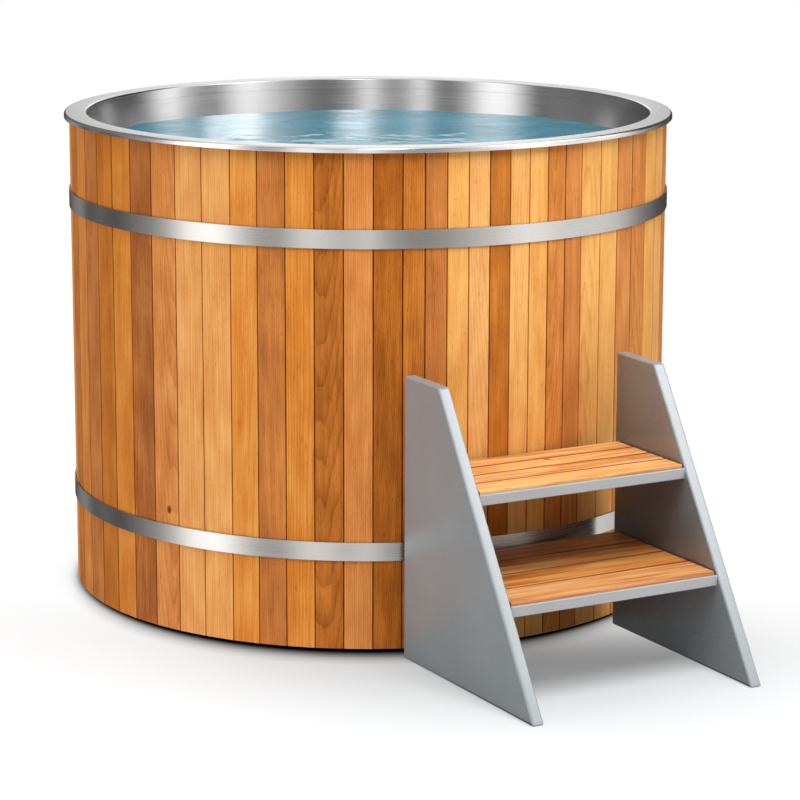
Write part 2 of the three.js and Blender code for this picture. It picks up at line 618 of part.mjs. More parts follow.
// Step, with Y measured from the back of its trays, which meet the lower hoop
step.position.y = -(hoopOuter + SEAT);
const panelBack = STEP_PANEL_TAIL;
const panelFront = (height) => panelBack
  - THREE.MathUtils.lerp(STEP_FOOT_DEPTH, STEP_TOP_DEPTH, height / STEP_PANEL_HEIGHT);
const sidePanel = new THREE.ExtrudeGeometry(new THREE.Shape(outline([
  [panelFront(0), 0, STEP_PANEL_CORNER],
  [panelBack, 0, STEP_PANEL_CORNER],
  [panelBack, STEP_PANEL_HEIGHT, STEP_PANEL_CORNER],
  [panelFront(STEP_PANEL_HEIGHT), STEP_PANEL_HEIGHT, STEP_PANEL_CORNER],
])), {
  depth: STEP_PANEL_THICK - 2 * STEP_PANEL_EDGE,
  bevelThickness: STEP_PANEL_EDGE,
  bevelSize: STEP_PANEL_EDGE,
  bevelOffset: -STEP_PANEL_EDGE,
  bevelSegments: 2,
}).translate(0, 0, STEP_PANEL_EDGE).applyMatrix4(TO_X);
const panelInner = STEP_WIDTH / 2 - STEP_PANEL_THICK;
piece(step, 'left_step_panel', sidePanel, paint(PANEL_GREY, 0.5, 0)).position.x = -STEP_WIDTH / 2;
piece(step, 'right_step_panel', sidePanel.clone(), paint(PANEL_GREY, 0.5, 0)).position.x = panelInner;

// Trays: a folded pan with a thick front lip, and a flange down each end where it meets a panel
function tread(name, height) {
  const half = panelInner - SEAT;
  const lipHigh = height - LIP_DROP;
  const panHigh = height - TREAD_BOARD_THICK - SEAT;
  const panLow = panHigh - TRAY_SHEET;
  const front = panelFront(lipHigh);
  const pan = alongX(outline([
    [front, lipHigh - LIP_HEIGHT, LIP_ROUND],
    [front + LIP_THICK, lipHigh - LIP_HEIGHT],
    [front + LIP_THICK, panLow],
    [0, panLow],
    [0, lipHigh],
    [-TRAY_SHEET, lipHigh],
    [-TRAY_SHEET, panHigh],
    [front + LIP_THICK, panHigh],
    [front + LIP_THICK, lipHigh, LIP_ROUND],
    [front, lipHigh, LIP_ROUND],
  ]), -half, half);
  const flangeFront = front + TRAY_FLANGE_FRONT;
  const flangeLength = -TRAY_FLANGE_REAR - flangeFront;
  const flangeHeight = TRAY_FLANGE_HEIGHT + TRAY_SHEET;
  const flanges = [-1, 1].map((side) => new THREE.BoxGeometry(TRAY_SHEET, flangeLength, flangeHeight)
    .translate(side * (half - TRAY_SHEET / 2), flangeFront + flangeLength / 2, panHigh - flangeHeight / 2));
  const depth = -TRAY_SHEET - (front + LIP_THICK);
  const slots = Array.from({ length: TRAY_SLOT_COUNT }, (unused, k) => {
    const x = ((k - (TRAY_SLOT_COUNT - 1) / 2) * 2 * half) / TRAY_SLOT_COUNT;
    const y = front + LIP_THICK + depth / 2;
    return upright(outline([
      [x - TRAY_SLOT_LENGTH / 2, y - TRAY_SLOT_WIDTH / 2, TRAY_SLOT_WIDTH / 2],
      [x + TRAY_SLOT_LENGTH / 2, y - TRAY_SLOT_WIDTH / 2, TRAY_SLOT_WIDTH / 2],
      [x + TRAY_SLOT_LENGTH / 2, y + TRAY_SLOT_WIDTH / 2, TRAY_SLOT_WIDTH / 2],
      [x - TRAY_SLOT_LENGTH / 2, y + TRAY_SLOT_WIDTH / 2, TRAY_SLOT_WIDTH / 2],
    ]), panLow - TRAY_SHEET, height);
  });
  const tray = cut(join(pan, ...flanges), ...slots);
  piece(step, `${name}_tray`, tray, paint('#b4b7ba', 0.45, 0.6));

  const clear = depth - 2 * SEAT - (TREAD_BOARD_COUNT - 1) * TREAD_BOARD_GAP;
  const width = clear / TREAD_BOARD_COUNT;
  for (let k = 0; k < TREAD_BOARD_COUNT; k += 1) {
    const from = front + LIP_THICK + SEAT + k * (width + TREAD_BOARD_GAP);
    const board = alongX(outline([
      [from, panHigh + SEAT],
      [from + width, panHigh + SEAT],
      [from + width, height, TREAD_BOARD_EDGE],
      [from, height, TREAD_BOARD_EDGE],
    ]), TREAD_END_GAP - half, half - TREAD_END_GAP);
    piece(step, `${name}_tread_board_${k + 1}`, board, paint(CEDAR[k % CEDAR.length], 0.6, 0));
  }
}
tread('upper', UPPER_TREAD);
tread('lower', LOWER_TREAD);

export default object;
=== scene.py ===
"""Looks of a round cold plunge tub and its step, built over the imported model's frame.

Metres, +Z up. The origin is on the floor at the tub's axis, and the step stands towards -Y.
"""

import math
import random

import bpy
from mathutils import Matrix, Vector


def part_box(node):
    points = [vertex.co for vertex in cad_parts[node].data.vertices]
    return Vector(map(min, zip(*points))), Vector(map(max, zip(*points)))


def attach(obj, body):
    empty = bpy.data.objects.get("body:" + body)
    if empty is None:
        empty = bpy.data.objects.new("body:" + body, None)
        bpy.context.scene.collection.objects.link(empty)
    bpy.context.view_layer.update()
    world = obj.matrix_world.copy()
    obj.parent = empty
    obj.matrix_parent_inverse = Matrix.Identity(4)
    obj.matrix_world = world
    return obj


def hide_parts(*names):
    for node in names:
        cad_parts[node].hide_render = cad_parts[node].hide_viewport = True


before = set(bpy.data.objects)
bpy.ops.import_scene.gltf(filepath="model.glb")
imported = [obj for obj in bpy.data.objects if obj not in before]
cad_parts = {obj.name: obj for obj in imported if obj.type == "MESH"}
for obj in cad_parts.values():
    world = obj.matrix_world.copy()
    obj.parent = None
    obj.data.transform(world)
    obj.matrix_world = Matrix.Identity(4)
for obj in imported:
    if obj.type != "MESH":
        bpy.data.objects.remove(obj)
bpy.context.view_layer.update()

bl_info = {
    "name": "Cold Plunge Tub",
    "version": (1, 0, 0),
    "blender": (4, 5, 0),
    "location": "View3D > Sidebar > Plunge Tub",
    "description": "Builds a wood-clad cold plunge tub with hoops, water, a drain valve and a step",
    "category": "Add Mesh",
}


def linear(code):
    """An sRGB hex colour as linear red, green, blue and alpha."""
    channels = (int(code[k:k + 2], 16) / 255 for k in (1, 3, 5))
    return tuple(c / 12.92 if c <= 0.04045 else ((c + 0.055) / 1.055) ** 2.4 for c in channels) + (1.0,)


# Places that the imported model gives
RIM_LOW, RIM_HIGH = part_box("rim")
WALL_LOW, WALL_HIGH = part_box("vessel_wall")

# Cladding, as it is set out round the tub: the angle where the first board starts, from the step's
# side towards +X, and runs of like boards with their widths
FIRST_BOARD = math.radians(-100.7)
BOARD_RUNS = (
    (8, 0.0665), (6, 0.059), (9, 0.045), (3, 0.059), (12, 0.0665), (7, 0.059), (4, 0.045), (7, 0.059), (12, 0.0665),
)
BOARDS_PER_PANEL = 4
# A letter for each board: dark, mid, golden, honey, light or pale heartwood and sapwood, as a stack comes
BOARD_TONES = "GMMGDGLLHMGDGDMMPPMPPGGPPGGPP" + "GMDLGMPLMDGLM" * 3
TONES = {"D": 0.37, "M": 0.5, "G": 0.61, "H": 0.69, "L": 0.78, "P": 0.9}
# Tones of the deck boards, front to back, lighter and darker by turns. The lower tread's are all darker than the
# upper's: painted shade under the upper tread
TREAD_TONES = {"upper": (0.89, 0.76, 0.88, 0.76), "lower": (0.67, 0.58, 0.66, 0.54)}

# What the metal mirrors round the studio: degrees to the right of the camera, and brightness
LOW_BANDS = (
    (-170, 1.35), (-163, 0.12), (-136, 0.4), (-128, 0.06), (-120, 0.24), (-106, 0.1), (-84, 0.5), (-76, 1.0),
    (-68, 2.1), (-55, 2.3), (-46, 1.1), (-39, 0.62), (-31, 0.6), (-23, 1.4), (-15, 1.35), (-8, 0.85), (0, 1.3),
    (7, 0.6), (15, 0.45), (25, 0.52), (38, 0.87), (48, 1.1), (57, 1.6), (66, 1.6), (74, 1.35), (95, 1.2),
    (108, 0.9), (120, 0.4), (140, 0.1), (163, 0.12), (170, 1.35),
)
HIGH_BANDS = (
    (-170, 1.35), (-163, 0.12), (-112, 0.25), (-90, 0.32), (-80, 0.15), (-73, 1.05), (-66, 2.2), (-54, 2.2), (-46, 0.8), (-39, 0.25),
    (-31, 0.25), (-24, 2.1), (-17, 0.6), (-8, 0.45), (0, 1.95), (7, 0.4), (16, 0.15), (25, 0.25), (40, 0.95),
    (48, 1.45), (57, 1.5), (64, 1.0), (71, 0.02), (80, 0.38), (88, 1.0), (96, 2.25), (104, 1.8), (112, 0.55),
    (120, 0.04), (163, 0.12), (170, 1.35),
)
GLOW = 2.4
# How light the floor is at a distance in metres: from the axis, a dark line round the boards' foot; from a point
# 80 mm towards the camera, the shadow in front of them; and in an oval towards the step, a soft shade further out
FOOT = ((0.645, 0.0), (0.652, 0.6), (0.668, 0.93), (0.7, 1.0))
CONTACT = ((0.56, 0.0), (0.575, 0.08), (0.592, 0.28), (0.61, 0.56), (0.63, 0.8), (0.66, 1.0))
SHADE = ((0.51, 0.72), (0.594, 0.79), (0.67, 0.86), (0.81, 0.95), (1.01, 1.0))


class TubSizes(bpy.types.PropertyGroup):
    clad_radius: bpy.props.FloatProperty(
        name="Cladding radius", description="Tub's axis to the boards' outer corners", default=0.650, unit="LENGTH")
    board_thick: bpy.props.FloatProperty(
        name="Board thickness", description="Thickness of a cladding board", default=0.028, unit="LENGTH")
    board_low: bpy.props.FloatProperty(
        name="Board height off the floor", description="Gap under the boards", default=0.006, unit="LENGTH")
    board_chamfer: bpy.props.FloatProperty(
        name="Board chamfer", description="Eased outer edge, so that two boards make a V", default=0.0016,
        unit="LENGTH", precision=4)
    board_seam: bpy.props.FloatProperty(
        name="Board seam", description="Gap between two boards", default=0.0006, unit="LENGTH", precision=4)
    sheet: bpy.props.FloatProperty(
        name="Sheet", description="Stainless sheet of the rim and wall", default=0.002, unit="LENGTH", precision=4)
    rim_lip: bpy.props.FloatProperty(
        name="Rim lip", description="Depth of the rim's turned-down outer edge", default=0.011, unit="LENGTH")
    rim_edge: bpy.props.FloatProperty(
        name="Rim edge radius", description="Bend at the rim's outer edge", default=0.005, unit="LENGTH")
    rim_bend: bpy.props.FloatProperty(
        name="Rim inner radius", description="Bend where the rim turns into the tub", default=0.004, unit="LENGTH")
    hoop_thick: bpy.props.FloatProperty(
        name="Hoop thickness", description="Thickness of a hoop's band", default=0.002, unit="LENGTH", precision=4)
    water_drop: bpy.props.FloatProperty(
        name="Water drop", description="Top of the rim down to the water", default=0.0755, unit="LENGTH")
    swell: bpy.props.FloatProperty(
        name="Swell", description="Height of the water's long waves", default=0.004, unit="LENGTH", precision=4)
    ripple: bpy.props.FloatProperty(
        name="Ripple", description="Height of the water's short waves", default=0.0016, unit="LENGTH", precision=4)
    panel_foot: bpy.props.FloatProperty(
        name="Panel foot", description="Depth of a step panel at the floor", default=0.505, unit="LENGTH")
    panel_top: bpy.props.FloatProperty(
        name="Panel top", description="Depth of a step panel at its top", default=0.137, unit="LENGTH")
    panel_corner: bpy.props.FloatProperty(
        name="Panel corner", description="Rounding of a step panel's corners", default=0.005, unit="LENGTH")
    panel_edge: bpy.props.FloatProperty(
        name="Panel edge", description="Rounding along a step panel's edges", default=0.004, unit="LENGTH")
    lip_thick: bpy.props.FloatProperty(
        name="Lip thickness", description="Thickness of a tray's front lip", default=0.006, unit="LENGTH")
    lip_height: bpy.props.FloatProperty(
        name="Lip height", description="Height of a tray's front lip", default=0.022, unit="LENGTH")
    lip_round: bpy.props.FloatProperty(
        name="Lip rounding", description="Rounding of a tray's front lip", default=0.0025, unit="LENGTH", precision=4)
    tray_sheet: bpy.props.FloatProperty(
        name="Tray sheet", description="Sheet of a tray's pan", default=0.003, unit="LENGTH", precision=4)
    tray_flange: bpy.props.FloatProperty(
        name="Tray flange", description="Height of the flange at each end of a tray", default=0.023, unit="LENGTH")
    tray_flange_front: bpy.props.FloatProperty(
        name="Tray flange front", description="Front of a tray to its flanges", default=0.095, unit="LENGTH")
    tray_flange_rear: bpy.props.FloatProperty(
        name="Tray flange rear", description="Flanges to the back of a tray", default=0.020, unit="LENGTH")
    slot_length: bpy.props.FloatProperty(
        name="Slot length", description="Length of a tray's drain slot", default=0.110, unit="LENGTH")
    slot_width: bpy.props.FloatProperty(
        name="Slot width", description="Width of a tray's drain slot", default=0.012, unit="LENGTH")
    pipe_fit: bpy.props.FloatProperty(
        name="Pipe fit", description="Room round the drain pipe in its board", default=0.001, unit="LENGTH", precision=4)
    pipe_wall: bpy.props.FloatProperty(
        name="Pipe wall", description="Wall of the drain pipe", default=0.0025, unit="LENGTH", precision=4)
    valve_neck: bpy.props.FloatProperty(
        name="Valve neck", description="Radius of the valve's necks and of the hose tail's collar", default=0.017,
        unit="LENGTH")
    valve_bore: bpy.props.FloatProperty(
        name="Valve bore", description="Radius of the valve's bore", default=0.011, unit="LENGTH")
    valve_hex: bpy.props.FloatProperty(
        name="Valve hexagon", description="Radius over the corners of the valve's ends", default=0.023, unit="LENGTH")
    valve_hex_length: bpy.props.FloatProperty(
        name="Valve end", description="Length of the valve's hexagonal ends", default=0.013, unit="LENGTH")
    valve_round: bpy.props.FloatProperty(
        name="Valve rounding", description="Rounding of the ball's housing", default=0.007, unit="LENGTH")
    ball_room: bpy.props.FloatProperty(
        name="Ball room", description="Radius of the hollow for the ball", default=0.0169, unit="LENGTH", precision=4)
    boss: bpy.props.FloatProperty(
        name="Stem boss", description="Radius of the boss round the stem", default=0.010, unit="LENGTH")
    stem: bpy.props.FloatProperty(
        name="Stem", description="Radius of the valve's stem", default=0.005, unit="LENGTH")
    lever_kink: bpy.props.FloatProperty(
        name="Lever kink", description="Stem to where the lever bends up", default=0.020, unit="LENGTH")
    lever_kink_run: bpy.props.FloatProperty(
        name="Lever kink run", description="Length of the lever's raised bend", default=0.014, unit="LENGTH")
    lever_sheet: bpy.props.FloatProperty(
        name="Lever sheet", description="Thickness of the lever", default=0.003, unit="LENGTH", precision=4)
    lever_round: bpy.props.FloatProperty(
        name="Lever rounding", description="Rounding of the lever's ends", default=0.006, unit="LENGTH")
    grip_wall: bpy.props.FloatProperty(
        name="Grip wall", description="Thickness of the lever's vinyl sleeve", default=0.0018, unit="LENGTH", precision=4)
    tail_collar: bpy.props.FloatProperty(
        name="Tail collar", description="Length of the hose tail's collar", default=0.007, unit="LENGTH")
    tail_radius: bpy.props.FloatProperty(
        name="Tail radius", description="Radius of the hose tail between its barbs", default=0.012, unit="LENGTH")
    tail_barb: bpy.props.FloatProperty(
        name="Tail barb", description="Height of a barb", default=0.002, unit="LENGTH", precision=4)
    tail_bore: bpy.props.FloatProperty(
        name="Tail bore", description="Radius of the hose tail's bore", default=0.009, unit="LENGTH")
    bolt_radius: bpy.props.FloatProperty(
        name="Hoop bolt", description="Radius of a hoop's bolt", default=0.004, unit="LENGTH", precision=4)
    bolt_head: bpy.props.FloatProperty(
        name="Hoop bolt head", description="Height of a hoop bolt's head", default=0.0055, unit="LENGTH", precision=4)
    bolt_hex: bpy.props.FloatProperty(
        name="Hoop bolt hexagon", description="Radius over the corners of bolt head and nut", default=0.0075,
        unit="LENGTH", precision=4)
    bearer_edge: bpy.props.FloatProperty(
        name="Bearer edge", description="Chamfer along a bearer's edges", default=0.003, unit="LENGTH", precision=4)
    small_edge: bpy.props.FloatProperty(
        name="Small edge", description="Eased edge of small metal pieces", default=0.0006, unit="LENGTH", precision=4)
    tread_edge: bpy.props.FloatProperty(
        name="Tread board edge", description="Rounding of a tread board's edges", default=0.0024, unit="LENGTH",
        precision=4)


class TubColours(bpy.types.PropertyGroup):
    cedar_dark: bpy.props.FloatVectorProperty(
        name="Cedar, dark", description="Late wood and dark streaks", subtype="COLOR", size=4, min=0, max=1,
        default=linear("#6f2f09"))
    cedar_red: bpy.props.FloatVectorProperty(
        name="Cedar, red", description="Reddish heartwood", subtype="COLOR", size=4, min=0, max=1,
        default=linear("#a35d24"))
    cedar_warm: bpy.props.FloatVectorProperty(
        name="Cedar, warm", description="Middle tone", subtype="COLOR", size=4, min=0, max=1,
        default=linear("#cb7e37"))
    cedar_pale: bpy.props.FloatVectorProperty(
        name="Cedar, pale", description="Pale sapwood", subtype="COLOR", size=4, min=0, max=1,
        default=linear("#ecb468"))
    # The deck boards' tones are a little paler and greyer than the cladding's: partly their own colour, partly painted
    # sheen
    deck_warm: bpy.props.FloatVectorProperty(
        name="Deck warm", description="Middle tone of the deck boards", subtype="COLOR", size=4, min=0, max=1,
        default=linear("#c57e3e"))
    deck_pale: bpy.props.FloatVectorProperty(
        name="Deck pale", description="Pale tone of the deck boards", subtype="COLOR", size=4, min=0, max=1,
        default=linear("#e3b172"))
    steel: bpy.props.FloatVectorProperty(
        name="Rim steel", description="Rim", subtype="COLOR", size=4, min=0, max=1,
        default=linear("#d6d5d4"))
    # Darker than the rim's steel, though it is the same sheet: painted shade inside the tub
    wall: bpy.props.FloatVectorProperty(
        name="Wall steel", description="Vessel wall and floor", subtype="COLOR", size=4, min=0, max=1,
        default=linear("#bababa"))
    band: bpy.props.FloatVectorProperty(
        name="Hoop steel", description="Hoops", subtype="COLOR", size=4, min=0, max=1,
        default=linear("#bbb8b4"))
    water: bpy.props.FloatVectorProperty(
        name="Water", description="Water, looking down", subtype="COLOR", size=4, min=0, max=1,
        default=linear("#3d7a8e"))
    panel: bpy.props.FloatVectorProperty(
        name="Panel grey", description="Step's side panels", subtype="COLOR", size=4, min=0, max=1,
        default=linear("#82898d"))
    tray: bpy.props.FloatVectorProperty(
        name="Tray grey", description="Step's trays", subtype="COLOR", size=4, min=0, max=1,
        default=linear("#949597"))


class StudioSettings(bpy.types.PropertyGroup):
    azimuth: bpy.props.FloatProperty(
        name="Camera azimuth", description="Camera's place round the tub", default=math.radians(-28.4), subtype="ANGLE")
    distance: bpy.props.FloatProperty(
        name="Camera distance", description="Tub's axis to the camera", default=6.518, unit="LENGTH")
    height: bpy.props.FloatProperty(
        name="Camera height", description="Floor to the camera", default=1.807, unit="LENGTH")
    pan: bpy.props.FloatProperty(
        name="Camera pan", description="Turn to the right of the tub's axis", default=math.radians(0.622),
        subtype="ANGLE")
    pitch: bpy.props.FloatProperty(
        name="Camera pitch", description="Tilt below the horizon", default=math.radians(12.302), subtype="ANGLE")
    roll: bpy.props.FloatProperty(
        name="Camera roll", description="Turn about the view", default=math.radians(0.162), subtype="ANGLE")
    lens: bpy.props.FloatProperty(
        name="Lens", description="Focal length on a 36 mm sensor", default=134.7, unit="CAMERA")


def fill(tree, node, inputs):
    """Sets or links a node's inputs."""
    for key, value in inputs.items():
        if isinstance(value, bpy.types.NodeSocket):
            tree.links.new(value, node.inputs[key])
        else:
            node.inputs[key].default_value = value


def add(tree, kind, inputs=None, **settings):
    """Adds a node with its settings and links."""
    node = tree.nodes.new(kind)
    for key, value in settings.items():
        setattr(node, key, value)
    fill(tree, node, inputs or {})
    return node


def new_finish(name):
    """A new material, with its node tree and its shader."""
    material = bpy.data.materials.new(name)
    material.use_nodes = True
    return material, material.node_tree, material.node_tree.nodes["Principled BSDF"]


def set_stops(ramp, stops):
    """Gives a ColorRamp node its stops, as (place, colour)."""
    elements = ramp.color_ramp.elements
    while len(elements) > 1:
        elements.remove(elements[-1])
    elements[0].position, elements[0].color = stops[0]
    for place, colour in stops[1:]:
        elements.new(place).color = colour


def oiled_cedar(name, colours, warm, pale, streak, sheen):
    """Planed and oiled western cedar. Growth rings show as flames or straight lines, with fine fibres,
    and the oil gives a soft sheen. Each board says on its vertices where it lay in the log."""
    material, tree, shader = new_finish(name)
    log = add(tree, "ShaderNodeAttribute", attribute_name="grain").outputs["Vector"]
    tone = add(tree, "ShaderNodeAttribute", attribute_name="tone").outputs["Fac"]
    # Rings 3.8 mm apart, wandering over some 160 mm along the board
    stretched = add(tree, "ShaderNodeVectorMath", {0: log, 1: (1, 1, 0.06)}, operation="MULTIPLY").outputs[0]
    rings = add(tree, "ShaderNodeTexWave", {
        "Vector": stretched, "Scale": 2 * math.pi / (20 * 0.0038), "Distortion": 5.0, "Detail": 1.5,
        "Detail Scale": 0.5, "Detail Roughness": 0.5,
    }, wave_type="RINGS", rings_direction="Z", wave_profile="SAW").outputs["Fac"]
    late = add(tree, "ShaderNodeMath", {0: rings, 1: 3.0}, operation="POWER").outputs[0]
    # Fibres 1.4 mm wide and 80 mm long, drawn a little coarse so that they show
    fine = add(tree, "ShaderNodeVectorMath", {0: log, 1: (700, 700, 12)}, operation="MULTIPLY").outputs[0]
    fibre = add(tree, "ShaderNodeTexNoise", {"Vector": fine, "Scale": 1.0, "Detail": 3.0, "Roughness": 0.6}).outputs["Fac"]
    # Streaks 9 mm wide and 300 mm long
    broad = add(tree, "ShaderNodeVectorMath", {0: log, 1: (110, 110, 3.3)}, operation="MULTIPLY").outputs[0]
    band = add(tree, "ShaderNodeTexNoise", {"Vector": broad, "Scale": 1.0, "Detail": 2.0, "Roughness": 0.5}).outputs["Fac"]
    drift = add(tree, "ShaderNodeMapRange", {"Value": band, 1: 0.3, 2: 0.7, 3: -streak, 4: streak}).outputs[0]
    grit = add(tree, "ShaderNodeMapRange", {"Value": fibre, 1: 0.3, 2: 0.7, 3: -0.08, 4: 0.06}).outputs[0]
    # Clouds 40 mm wide and 110 mm long, and pores 1.2 mm wide and 14 mm long
    soft = add(tree, "ShaderNodeVectorMath", {0: log, 1: (25, 25, 9)}, operation="MULTIPLY").outputs[0]
    cloud = add(tree, "ShaderNodeTexNoise", {"Vector": soft, "Scale": 1.0, "Detail": 1.0}).outputs["Fac"]
    patch = add(tree, "ShaderNodeMapRange", {"Value": cloud, 1: 0.3, 2: 0.7, 3: -0.07, 4: 0.07}).outputs[0]
    short = add(tree, "ShaderNodeVectorMath", {0: log, 1: (800, 800, 70)}, operation="MULTIPLY").outputs[0]
    dash = add(tree, "ShaderNodeTexNoise", {"Vector": short, "Scale": 1.0, "Detail": 0.0}).outputs["Fac"]
    pore = add(tree, "ShaderNodeMapRange", {"Value": dash, 1: 0.7, 2: 0.82, 3: 0.0, 4: -0.22}).outputs[0]
    shade = add(tree, "ShaderNodeMath", {0: late, 1: -0.15, 2: tone}, operation="MULTIPLY_ADD").outputs[0]
    for layer in (drift, grit, patch, pore):
        shade = add(tree, "ShaderNodeMath", {0: shade, 1: layer}, operation="ADD").outputs[0]
    # A knot, where a board has one: a dark eye 10 mm across
    knot = add(tree, "ShaderNodeAttribute", attribute_name="knot").outputs["Vector"]
    reach = add(tree, "ShaderNodeVectorMath", {0: knot}, operation="LENGTH").outputs["Value"]
    eye = add(tree, "ShaderNodeMapRange", {"Value": reach, 1: 0.0026, 2: 0.0075, 3: -0.75, 4: 0.0}).outputs[0]
    shade = add(tree, "ShaderNodeMath", {0: shade, 1: eye}, operation="ADD").outputs[0]
    ramp = add(tree, "ShaderNodeValToRGB", {"Fac": shade})
    set_stops(ramp, (
        (0.02, colours.cedar_dark), (0.32, colours.cedar_red), (0.58, warm), (1.0, pale),
    ))
    # Some boards are a little pinker and others more golden
    blush = add(tree, "ShaderNodeAttribute", attribute_name="blush").outputs["Fac"]
    hue = add(tree, "ShaderNodeMapRange", {"Value": blush, 1: -1, 2: 1, 3: 0.5006, 4: 0.4985}).outputs[0]
    depth = add(tree, "ShaderNodeMapRange", {"Value": blush, 1: -1, 2: 1, 3: 1.02, 4: 0.97}).outputs[0]
    tinted = add(tree, "ShaderNodeHueSaturation", {"Hue": hue, "Saturation": depth, "Color": ramp.outputs["Color"]}).outputs[0]
    rough = add(tree, "ShaderNodeMapRange", {"Value": fibre, 1: 0.2, 2: 0.8, 3: 0.46, 4: 0.62}).outputs[0]
    bump = add(tree, "ShaderNodeBump", {"Height": fibre, "Strength": 0.25, "Distance": 0.0004}).outputs[0]
    fill(tree, shader, {"Base Color": tinted, "Roughness": rough, "Normal": bump})
    shader.inputs["Specular IOR Level"].default_value = sheen
    return material


def brushed_stainless(name, colour, roughness, pull, outward=0.0, upward=0.0):
    """Stainless sheet brushed along its length, round the tub. The fine scratches pull each reflection
    out into an upright streak, so that the metal shows bright and dark bands. Leaning upward, a wall mirrors
    the room, where it would otherwise only mirror the inside of the tub. Leaning outward, a rim looks crowned."""
    material, tree, shader = new_finish(name)
    place = add(tree, "ShaderNodeTexCoord").outputs["Object"]
    flat = add(tree, "ShaderNodeVectorMath", {0: place, 1: (1, 1, 0)}, operation="MULTIPLY").outputs[0]
    radius = add(tree, "ShaderNodeVectorMath", {0: flat}, operation="LENGTH").outputs["Value"]
    height = add(tree, "ShaderNodeSeparateXYZ", {0: place}).outputs["Z"]
    across = add(tree, "ShaderNodeMath", {0: radius, 1: height}, operation="ADD").outputs[0]
    # Scratches 2 mm apart and some 600 mm long: real ones are finer, but they would not show
    crossing = add(tree, "ShaderNodeCombineXYZ", {"Z": across}).outputs[0]
    spread = add(tree, "ShaderNodeVectorMath", {0: crossing, 1: (0, 0, 500)}, operation="MULTIPLY").outputs[0]
    brush = add(tree, "ShaderNodeVectorMath", {0: flat, 1: (1.7, 1.7, 0), 2: spread}, operation="MULTIPLY_ADD").outputs[0]
    scratch = add(tree, "ShaderNodeTexNoise", {"Vector": brush, "Scale": 1.0, "Detail": 3.0, "Roughness": 0.65}).outputs["Fac"]
    tint = add(tree, "ShaderNodeMapRange", {"Value": scratch, 1: 0.25, 2: 0.75, 3: 0.95, 4: 1.02}).outputs[0]
    shade = add(tree, "ShaderNodeVectorMath", {0: tuple(colour[:3]), "Scale": tint}, operation="SCALE").outputs[0]
    rough = add(tree, "ShaderNodeMapRange", {
        "Value": scratch, 1: 0.25, 2: 0.75, 3: roughness - 0.05, 4: roughness + 0.06,
    }).outputs[0]
    bump = add(tree, "ShaderNodeBump", {"Height": scratch, "Strength": 0.05, "Distance": 0.0002}).outputs[0]
    if outward or upward:
        away = add(tree, "ShaderNodeVectorMath", {0: flat}, operation="NORMALIZE").outputs[0]
        lean = add(tree, "ShaderNodeVectorMath", {0: away, 1: (outward,) * 3, 2: (0, 0, upward)}, operation="MULTIPLY_ADD").outputs[0]
        tipped = add(tree, "ShaderNodeVectorMath", {0: bump, 1: lean}, operation="ADD").outputs[0]
        bump = add(tree, "ShaderNodeVectorMath", {0: tipped}, operation="NORMALIZE").outputs[0]
    along = add(tree, "ShaderNodeTangent", direction_type="RADIAL", axis="Z").outputs[0]
    fill(tree, shader, {"Base Color": shade, "Roughness": rough, "Normal": bump, "Tangent": along})
    shader.inputs["Metallic"].default_value = 1.0
    shader.inputs["Anisotropic"].default_value = pull
    shader.inputs["Anisotropic Rotation"].default_value = 0.25
    return material


def plunge_water(colours):
    """Cold clear water over steel, deep enough to look blue. Smooth, with ripples in its shape, so that
    at a low angle it mirrors the tub's wall."""
    material, tree, shader = new_finish("Water, rippled")
    place = add(tree, "ShaderNodeTexCoord").outputs["Object"]
    # Lighter patches about 150 mm across, where light gathers under the ripples
    patch = add(tree, "ShaderNodeTexNoise", {"Vector": place, "Scale": 6.5, "Detail": 1.0, "Distortion": 1.0}).outputs["Fac"]
    ramp = add(tree, "ShaderNodeValToRGB", {"Fac": patch})
    deep = colours.water
    set_stops(ramp, ((0.38, deep), (0.7, [min(1, 1.35 * c) for c in deep[:3]] + [1])))
    # Fine ripples 40 mm long, too small for the mesh
    wave = add(tree, "ShaderNodeTexNoise", {"Vector": place, "Scale": 25.0, "Detail": 1.0, "Distortion": 0.6}).outputs["Fac"]
    bump = add(tree, "ShaderNodeBump", {"Height": wave, "Strength": 0.3, "Distance": 0.002}).outputs[0]
    fill(tree, shader, {"Base Color": ramp.outputs["Color"], "Normal": bump})
    shader.inputs["Roughness"].default_value = 0.04
    shader.inputs["IOR"].default_value = 1.333
    shader.inputs["Specular IOR Level"].default_value = 0.14
    return material


